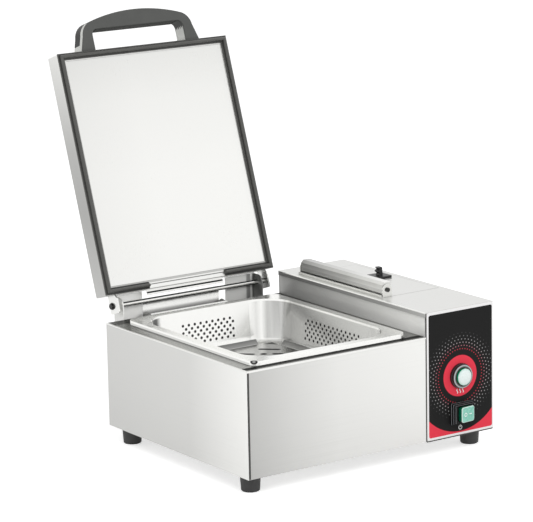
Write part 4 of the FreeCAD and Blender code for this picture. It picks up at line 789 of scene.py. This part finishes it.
# %% Dress the solids
soft_edged = """
front_panel steel_front 0.8, left_side_panel steel_side 0.8, right_side_panel steel_side 0.6,
rear_panel steel_plain 0.4, deck steel_deck 0.5, housing_inner_wall steel_wall 0.4,
housing_top_cover steel_cover 0.5, control_fascia steel_upright 0.4, base_tray steel_plain 0.4,
lid_shell steel_shell 0.8, lid_inner_panel steel_lid 0.3, lid_hinge_channel steel_bright 0.4,
hinge_bracket_left steel_bracket 0.4, hinge_bracket_right steel_bracket 0.4, drip_channel steel_trough 0.3,
flap_hinge_base steel_bright 0.3, flap_hinge_channel steel_channel 0.6, tank_flap steel_cover 0.3,
slotted_plate steel_slots 0.3, handle_core handle_pale 0.8, handle_front_cover handle_dark 1.0,
handle_back_cover handle_pale 1.0, handle_band handle_black 0.4, flap_tab black_plastic 0.6,
switch_housing switch_steps 0.7"""
for row in soft_edged.split(","):
    node, finish, edge = row.split()
    softened(node, finish, float(edge))

plain_solids = """
zinc_plated foot_screws casing_screws bracket_screws handle_screws pump_bracket button_spring,
screw_dark pivot_screws flap_hinge_rod, well_steel well_liner, pan_steel steam_pan,
cast_aluminium steam_plate, heater_sheath heating_element, steel_plain heat_shield water_pipe,
blanket heater_blanket lid_insulation, bakelite thermostat safety_cutout pump,
tank_plastic water_tank terminal_block, black_plastic tank_strainer button_contact cord_gland,
hose_silicone suction_hose delivery_hose, board_green timer_board, steel_rod hinge_rod, foot_rubber feet"""
for row in plain_solids.split(","):
    finish, *names = row.split()
    for node in names:
        nodes[node].data.materials.clear()
        nodes[node].data.materials.append(finishes[finish].material)
print("rows of softened solids:", soft_edged.count(",") + 1, "finishes of plain ones:", plain_solids.count(",") + 1)

# %% [markdown]
# ## Lid seal
#
# The seal is an extruded rubber strip: a flat base, a rounded ridge along its
# middle that the pan's rim presses on, and a thin lip on each side. Its section
# is drawn once and carried round the lid's rim. Each corner is mitred, which only
# means that both neighbours end on the same diagonal, so a point that lies u in
# from the edge moves by u along both axes. The two ends by the drip channel shrink
# to a rounded tip.

# %% Lid seal
seal_low, seal_high = lid_upright("lid_gasket")
seal_half = 5.1 * mm
vent_half = 67 * mm
vent_middle = (seal_low[0] + seal_high[0]) / 2 - 5.5 * mm


def seal_profile():
    """Section as (distance in from the edge, height): base, side lips and a half-round ridge."""
    ridge = arc((5.1, 4.3), 2.5, 0, 180, 13)
    right_lip = [(10.2, 0), (10.2, 2), (9.8, 2.5), (9, 2.4), (8.3, 1.9), (7.7, 2.1)]
    left_lip = [(2.5, 2.1), (1.9, 1.9), (1.2, 2.4), (0.4, 2.5), (0, 2), (0, 0)]
    return np.vstack([right_lip, ridge, left_lip]).T * mm


def seal_points():
    """Rows along the path: a tip, four mitred corners and the other tip; each row is the whole section.

    A tip's rows grow from 0.7 times the height and 0.72 times the width by a sine, while they move
    out by 1.8 mm on a quarter circle."""
    u, h = seal_profile()
    (left, _, low), (right, top, high) = seal_low, seal_high
    turn = np.radians(np.linspace(0, 90, 5))[:, None]
    grown = np.sin(turn)
    tip_x = vent_middle - vent_half + 1.8 * mm * (np.cos(turn) - 1)
    tip_z = low + seal_half + (u - seal_half) * (0.72 + 0.28 * grown)
    tip = np.stack(np.broadcast_arrays(tip_x, h * (0.7 + 0.3 * grown), tip_z), -1)
    corners = [(left + u, low + u), (left + u, high - u), (right - u, high - u), (right - u, low + u)]
    corners = np.array([np.stack([x, h, z], -1) for x, z in corners])
    other_tip = tip[::-1] * (-1, 1, 1) + (2 * vent_middle, 0, 0)
    rows = np.concatenate([tip, corners, other_tip])
    rows[..., 1] = top - rows[..., 1]
    return on_lid(rows)


lid_seal = grid_piece("lid_seal", seal_points(), 50)
stand_for(lid_seal, "lid_gasket", "seal_rubber")
print("seal", len(lid_seal.data.polygons), "faces, height", round((seal_high[1] - seal_low[1]) * 1000, 1), "mm")

# %% [markdown]
# ## Printed panel
#
# The control panel is a printed film: a black field with rounded corners inside a
# pale border, a red disc behind the button, rings of dots that fade outwards, and
# two red corners cut by a wide arc. All of it is drawn with arithmetic on the
# distance and the angle from the disc's middle, which stays sharp at any zoom.
# Plain pictograms stand where such panels have words: steam below the button, and
# a power sign below the switch.

# %% Panel print
panel_low, panel_high = low_high("control_overlay")
disc_place = sum(low_high("button_bezel")) / 2
disc_x, _, disc_z = disc_place
disc_reach, corner_reach, dots_reach = 30.2, 79.5, 76
ring_first, ring_pitch, ring_dots, ring_last = 39.4, 4.7, 54, 6
ring_inks = [(0, colour(214, 62, 76)), (0.167, colour(196, 128, 138)), (0.333, colour(186, 172, 174)),
             (0.5, colour(164, 164, 164)), (0.667, colour(126, 126, 126)), (0.833, colour(66, 66, 66)),
             (1, colour(38, 38, 38))]
steam_down, steam_pitch, power_down, line_half = 22.4, 5.2, 76.6, 0.55


def rounded_box(x, z, half_x, half_z, corner):
    """Signed distance from a rounded rectangle: how far a point lies outside its straight sides."""
    out_x = (abs(x) - (half_x - corner)).at_least(0)
    out_z = (abs(z) - (half_z - corner)).at_least(0)
    return diagonal(out_x, out_z) - corner


def ring_dot_mask(x, z, reach):
    """The dots, and the number of the ring: each ring is turned by half a step more than the last."""
    ring = ((reach - ring_first) * (1 / ring_pitch)).clamp(0, ring_last).math("ROUND")
    step = z.math("ARCTAN2", x) * (ring_dots / (2 * math.pi)) + ring * 0.5
    along = ((step + 100).math("FRACT") - 0.5) * reach * (2 * math.pi / ring_dots)
    return diagonal(reach - (ring * ring_pitch + ring_first), along).below(0.8, 0.3), ring


def steam_mask(x, z):
    """Three upright strokes that sway by a sine of the height."""
    sway = (z * 0.95).math("SINE") * 0.9
    offset = (((x + sway) * (1 / steam_pitch) + 100.5).math("FRACT") - 0.5) * steam_pitch
    return offset.near(0, 0.8) * x.near(0, 7.4) * z.near(0, 3.4)


def power_mask(x, z):
    """An open ring with an upright bar."""
    gap = x.near(0, 1.3) * z.above(0)
    ring = diagonal(x, z).near(2.9, line_half) * (1 - gap)
    return ring.at_least(x.near(0, line_half) * z.near(2.2, 1.9))


def panel_print():
    """The film's colours, layer over layer, in millimetres from the disc's middle."""
    finish = Finish("printed_film")
    x, _, z = finish.from_point(disc_place)
    reach = diagonal(x, z)
    border, black, red = colour(247, 246, 246), colour(34, 34, 34), colour(238, 66, 84)
    middle = ((panel_low + panel_high) / 2 - disc_place) * 1000
    field = rounded_box(x - (middle[0] + 0.7), z - (middle[2] - 0.4), 57.6, 90.1, 3).below(0)
    wide = diagonal(x, z + 2.5)
    dots, ring = ring_dot_mask(x, z, reach)
    ink = finish.ramp(ring * (1 / ring_last), ring_inks)
    tint = border
    for mask, layer in ((field, black), (wide.above(corner_reach) * field * z.below(0), red),
                        (dots * field * wide.below(dots_reach), ink), (reach.below(disc_reach), red),
                        (steam_mask(x, z + steam_down), colour(250, 248, 248)),
                        (power_mask(x, z + power_down), colour(236, 236, 236))):
        tint = finish.mix(mask, tint, layer)
    fine = finish.noise(900, 2)
    finish.give({"Base Color": tint, "Roughness": fine * 0.1 + 0.48, "Specular IOR Level": 0.08})
    finish.bump(fine, 0.04)


panel_print()
softened("control_overlay", "printed_film", 0.15, 1)
print("disc at", round(disc_x, 4), round(disc_z, 4), "rings of", ring_dots, "dots")

# %% [markdown]
# ## Steam button
#
# The button is turned about its axis: a black collar holds a clear grey ring, and
# inside it the cap has a fluted emerald side and a pale domed face with fine
# rings. Turned parts are a profile of (distance along the axis, radius) swept
# through a full circle. The flutes are a cosine of the angle added to the radius,
# and only where the profile says so.

# %% Turned pieces about the button's axis
turn_steps = 96


def turned_piece(name, profile, smooth_angle, flutes=0, flute_depth=0, ring=False):
    """Profile rows of (distance out from the film, radius) in mm, swept about the button's axis."""
    out, radius = np.asarray(profile, float).T[:, :, None] * mm
    angle = np.linspace(0, 2 * np.pi, turn_steps, endpoint=False)[None]
    radius = radius - np.reshape(flute_depth, (-1, 1)) * mm * (0.5 + 0.5 * np.cos(flutes * angle))
    points = np.stack(np.broadcast_arrays(disc_x + radius * np.cos(angle), film_y - out,
                                          disc_z + radius * np.sin(angle)), -1)
    return grid_piece(name, points, smooth_angle, ring)


def collar_finish():
    """Grey ring outside 15.5 mm, a dark gap inside it, and black plastic within 7 mm of the film."""
    finish = Finish("collar_finish")
    x, _, z = finish.from_point(disc_place)
    dark, grey = colour(84, 78, 76), colour(176, 184, 186)
    by_radius = finish.ramp(diagonal(x, z) * (1 / 17), [(0, dark), (0.88, dark), (0.91, grey), (1, grey)])
    tint = finish.mix(film_depth(finish).below(7), by_radius, colour(26, 26, 27))
    clouds = finish.noise(260)
    finish.give({"Base Color": finish.times(tint, clouds * 0.3 + 0.85), "Roughness": clouds * 0.12 + 0.2,
                 "Coat Weight": 0.3})


collar_finish()
collar_profile = [(-24, 8), (-24, 14), (0, 14), (0, 18.5), (3.2, 18.5), (3.8, 18.2), (4, 17.6),
                  (4, 17), (7.3, 16.9), (7.8, 16.6), (8, 16.1), (8, 13.7), (7.8, 13.1), (7.2, 12.85),
                  (0.1, 12.8), (0.1, 8)]
button_collar = turned_piece("button_collar", collar_profile, 40, ring=True)
stand_for(button_collar, "button_bezel", "collar_finish")
print("collar", len(button_collar.data.polygons), "faces")

# %% Button cap
cap_front, cap_sphere = 13.9, 27.1


def cap_profile():
    """Stem, fluted side and a face that is part of a sphere, its height rippled with the radius."""
    radius = np.linspace(11.5, 0, 32)
    dome = cap_front - cap_sphere + np.sqrt(cap_sphere ** 2 - radius ** 2) + 0.09 * np.cos(radius * 2.6)
    side = [(-20.7, 0), (-20.7, 4), (3.4, 4), (3.4, 12.3), (5, 12.35), (9, 12.35), (10.4, 12.35),
            (10.9, 12.15)]
    return np.vstack([side, np.stack([dome, radius], -1)])


def cap_finish():
    """Emerald sides that lighten towards the pale mint face."""
    finish = Finish("button_cap")
    clouds = finish.noise(420)
    share = film_depth(finish) * (1 / 16) + clouds * 0.05
    tint = finish.ramp(share, [(0, colour(0, 70, 48)), (0.22, colour(0, 88, 60)), (0.58, colour(10, 140, 96)),
                               (0.68, colour(34, 170, 124)), (0.715, colour(206, 236, 228)),
                               (0.8, colour(238, 249, 247)), (1, colour(240, 250, 248))])
    finish.give({"Base Color": finish.times(tint, clouds * 0.25 + 0.86), "Roughness": clouds * 0.1 + 0.2,
                 "Coat Weight": 0.3})


cap_finish()
cap_points = cap_profile()
flute_depth = np.where((cap_points[:, 0] > 3) & (cap_points[:, 1] > 12.2), 0.6, 0)
steam_cap = turned_piece("steam_cap", cap_points, 50, 26, flute_depth)
stand_for(steam_cap, "steam_button", "button_cap")
print("button cap", len(steam_cap.data.polygons), "faces")

# %% [markdown]
# ## Power rocker
#
# The rocker is a clear green key with two white marks, a ring for off and a dash
# for on. It is a stack of rounded rectangles from its back to its face: the front
# ones shrink along a quarter circle, which rolls the edge over, and the last ones
# close the face, which dips a little towards its middle. The stack is drawn
# square, then turned about the switch's pin by the resting tilt. The marks and a
# painted highlight round the face's rim are drawn in the material, on the place
# turned back by that tilt.

# %% Rocker key
rocker_low, rocker_high = low_high("power_rocker")
pin_place = np.array(joints["power_rocker_tilt"]["pos_m"])
pin_place[2] = (rocker_low[2] + rocker_high[2]) / 2
tilt = math.radians(joints["power_rocker_tilt"]["range_deg"][1] / 2)
key_half, key_tall, key_corner, key_front, key_roll = 12.25, 11.25, 3.2, 9.5, 0.9


def rounded_outline(half, tall, corner):
    """Points of a rounded rectangle: four quarter circles about its corner centres."""
    return np.vstack([arc((side * (half - corner), top * (tall - corner)), corner, start, start + 90, 8)
                      for start, side, top in ((0, 1, 1), (90, -1, 1), (180, -1, -1), (270, 1, -1))])


def key_points():
    """Rows of rounded rectangles at each depth, then the face drawn in towards its middle."""
    turn = np.radians(np.linspace(0, 90, 6))
    depths = np.concatenate([[4, 2, -4], -(key_front - key_roll) - key_roll * np.sin(turn)])
    insets = np.concatenate([[1.8, 1.3, 0.4], key_roll * (1 - np.cos(turn))])
    rows = []
    for depth, inset in zip(depths, insets):
        outline = rounded_outline(key_half - inset, key_tall - min(inset, key_roll), key_corner)
        rows.append(np.insert(outline, 1, depth, 1))
    last = rows[-1]
    for size in (0.85, 0.6, 0.3, 0):
        dip = 0.32 * (1 - np.abs(last[:, 0] * size) / key_half)
        rows.append(np.column_stack([last[:, 0] * size, dip - key_front, last[:, 2] * size]))
    rows.insert(0, rows[0] * (0, 1, 0))
    x, y, z = np.moveaxis(np.array(rows) * mm, -1, 0)
    return np.stack([*turned_back(x, y, -tilt), z], -1) + pin_place


def rocker_finish():
    """Mint face with a painted highlight on its rim, darker green below the face, and the two marks."""
    finish = Finish("rocker_key")
    from_x, from_y, z = finish.from_point(pin_place)
    x, y = turned_back(from_x, from_y, tilt)
    face = y.below(1 - key_front, 0.5)
    clouds = finish.noise(220)
    mint = finish.ramp(clouds, [(0.35, colour(116, 196, 174)), (0.65, colour(150, 216, 198))])
    # Painted highlight: a pale line round the rim of the face.
    rim = rounded_box(x, z, key_half, key_tall, key_corner).above(-1, 0.4)
    mint = finish.mix(rim, mint, colour(214, 240, 232))
    side = finish.ramp(y * (-1 / 9), [(0, colour(0, 60, 42)), (0.6, colour(4, 96, 68)), (1, colour(14, 124, 90))])
    ring = diagonal(x + 4.6, z).near(2.3, line_half)
    dash = x.near(4.8, 2.4) * z.near(0, 0.6)
    tint = finish.mix(ring.at_least(dash) * face, finish.mix(face, side, mint), colour(248, 252, 250))
    finish.give({"Base Color": tint, "Roughness": clouds * 0.1 + 0.18, "Coat Weight": 0.3})


rocker_finish()
rocker_key = grid_piece("rocker_key", key_points(), 40)
stand_for(rocker_key, "power_rocker", "rocker_key")
print("rocker", ((rocker_high - rocker_low) * 1000).round(1), "tilted", round(math.degrees(tilt), 1), "degrees")

# %% [markdown]
# ## Seams, hems and lips on the casing
#
# Folded sheet shows narrow lines where it meets. Beside the side panel, at the
# front sheet's fold, and at the fascia, dark beads paint the shadow in the seam,
# and a dark strip paints the shadow under the fascia's lower edge; the deck's
# turned-down edges are bright. The housing's cover has a lip over the pan,
# darkened by painted shade and more so towards the back, and a bright edge at its
# top, and the deck ends in a bright lip at the back. All are long strips with a
# small section in mm, carried straight along one axis, so a table holds them.

# %% Strips on the casing
def strip_piece(name, axis, ends, origin, section):
    """A closed section of (first, second) points in mm from an origin, carried straight along an axis."""
    flat = np.array(origin) + np.array(section) * mm
    return grid_piece(name, np.array([np.insert(flat, axis, place, 1) for place in ends]), 50)


def short_of(node, axis, gap):
    """The ends of a node along an axis, each less a gap in mm."""
    low, high = span_of(node, axis)
    return low + gap * mm, high - gap * mm


def bead(half, rise):
    """Half-oval bead on a flat face: points of an ellipse's front half, then its flat back."""
    angle = np.linspace(0, np.pi, 9)
    return np.stack([half * np.cos(angle), -rise * np.sin(angle)], -1)


deck_low, deck_high = low_high("deck")
cover_low, cover_high = low_high("housing_top_cover")
front_low, fascia_low = low_high("front_panel")[0], low_high("control_fascia")[0]
trough_ends = span_of("drip_channel", 0)
lip_foot = (cover_low[2] - cover_high[2]) / mm + 0.3
strips = [
    # Painted shadow: the two seam beads are dark strips that stand for the shadow in the seams, and the strip at
    # the fascia's foot paints the shadow under its lower edge.
    ("front_seam", "front_panel", "steel_seam", 2, (front_low[2] + 1 * mm, deck_low[2] - 1 * mm),
     (front_low[0] + 1.2 * mm, front_low[1]), bead(1.2, 0.35)),
    ("deck_lip", "deck", "steel_hem", 0, short_of("deck", 0, 0.3), (deck_low[1], deck_high[2]),
     [(0.2, -0.1), (-0.3, -0.3), (-0.5, -0.8), (-0.5, -2.6), (-0.3, -2.9), (0.2, -2.9)]),
    ("left_hem", "deck", "steel_hem", 1, short_of("deck", 1, 0.3), (deck_low[0], deck_high[2]),
     [(0.2, 0.3), (-0.3, 0), (-0.3, -1.6), (0.2, -1.6), (1.6, -0.1), (1.6, 0.3)]),
    ("fascia_seam", "control_fascia", "steel_seam", 2, short_of("control_fascia", 2, 0.3),
     (fascia_low[0] - 0.5 * mm, fascia_low[1]), bead(1, 0.35)),
    ("fascia_foot", "control_fascia", "steel_seam", 0, short_of("control_fascia", 0, 0), fascia_low[1:],
     [(0.4, 0.5), (-0.45, 0.5), (-0.45, -1), (0.4, -1)]),
    ("cover_lip", "housing_top_cover", "cover_lip_steel", 1, short_of("housing_top_cover", 1, 1),
     (cover_low[0], cover_high[2]), [(0.3, lip_foot), (-0.2, lip_foot), (-0.2, -1.5), (0.3, -1.5)]),
    ("rear_lip", "deck", "rear_steel", 0, trough_ends, deck_high[1:],
     [(-1.2, -0.2), (-1.2, 2.4), (-0.4, 2.8), (0, 2.4), (0, -0.2)]),
    ("cover_edge", "housing_top_cover", "rear_steel", 1, short_of("housing_top_cover", 1, 0.5),
     (cover_low[0], cover_high[2]), [(-0.25, -1.4), (-0.25, -0.2), (0.2, 0.2), (1.4, 0.2), (1.4, -0.3)]),
]
for name, node, finish, *shape in strips:
    finish_piece(strip_piece(name, *shape), "casing", finish)
print("strips on the casing:", len(strips))

# %% [markdown]
# ## Lines across the lid's foot
#
# Between the two ends of the seal the lid's foot shows a bright band with a grey
# fold line in it, and a dark strip of painted shadow where the shell ends above
# the drip channel.
# These flat strips are boxes drawn upright and turned with the lid.

# %% Strips on the lid
def lid_strip(name, finish, start, stop, front, bottom, top, thickness):
    """A flat strip in mm on the lid: a rectangle carried from start to stop, turned with the lid."""
    section = np.array([(front, bottom), (front - thickness, bottom), (front - thickness, top), (front, top)])
    ends = np.array([np.insert(section * mm, 0, place, 1) for place in (start, stop)])
    return finish_piece(grid_piece(name, on_lid(ends)), "lid", finish)


vent_start, vent_stop = vent_middle - vent_half + 1 * mm, vent_middle + vent_half - 1 * mm
# Painted shadow: a dark strip where the shell ends above the drip channel.
lid_strip("lid_edge_shadow", "painted_lid_shadow", trough_ends[0] - rod_place[0] + 1 * mm,
          trough_ends[1] - rod_place[0] - 0.5 * mm, -7.9, 9.6, 12, 0.5)
lid_strip("vent_band", "steel_hem", vent_start, vent_stop, -11.95, 16.4, 24.6, 0.15)
lid_strip("panel_fold_line", "fold_grey", vent_start, vent_stop, -12.1, 21.4, 22.7, 0.3)
print("vent", round((vent_stop - vent_start) * 1000, 1), "mm wide")

# %% [markdown]
# ## Floor, light and surroundings
#
# Steel shows what stands round it, so the surroundings matter more than the
# lamps: a white room that the camera and reflections see, and a little less of it
# for matt surfaces, which two soft lamps make up for. The floor is a pale matt
# sheet that glows just enough to reach white and still keeps the shadow.

# %% Stage
def add_area(name, place, target, size, power):
    """A square soft light aimed at a point, left out of reflections."""
    data = bpy.data.lights.new(name, "AREA")
    data.shape = "SQUARE"
    data.size = size
    data.energy = power
    lamp = add_object(name, data)
    lamp.location = place
    lamp.rotation_mode = "QUATERNION"
    lamp.rotation_quaternion = (Vector(target) - Vector(place)).to_track_quat("-Z", "Y")
    lamp.visible_glossy = False


def ray_kinds(tree):
    """1 for camera rays, and 1 for camera, glossy and transmission rays together."""
    path = new_node(tree, "LightPath")
    camera_ray, glossy, through = (Value(path.outputs["Is " + kind + " Ray"])
                                   for kind in ("Camera", "Glossy", "Transmission"))
    return camera_ray, camera_ray.at_least(glossy).at_least(through)


floor_half = 8
floor_points = np.array([[-1, -1, 0], [1, -1, 0], [1, 1, 0], [-1, 1, 0]]) * floor_half
floor = make_piece("floor", floor_points, [(0, 1, 2, 3)])
floor_finish = Finish("floor_white")
camera_ray, seen = ray_kinds(floor_finish.tree)
floor_finish.give({"Base Color": (0.8, 0.8, 0.8), "Roughness": 0.9, "Specular IOR Level": 0,
                   "Emission Color": (1, 1, 1), "Emission Strength": seen * 0.26 + camera_ray * 0.3})
floor.data.materials.append(floor_finish.material)

world = bpy.data.worlds.new("room")
scene.world = world
world.use_nodes = True
background = world.node_tree.nodes["Background"]
put_in(background.inputs["Color"], (1, 1, 1))
put_in(background.inputs["Strength"], ray_kinds(world.node_tree)[1] * 0.32 + 0.68)

add_area("key_light", (-1.6, -2.4, 2.6), (0, 0, 0.2), 2, 42)
add_area("fill_light", (2.4, -1.2, 1.8), (0, 0, 0.2), 1.6, 12)
print("floor", 2 * floor_half, "m wide; lamps:", len(bpy.data.lights))
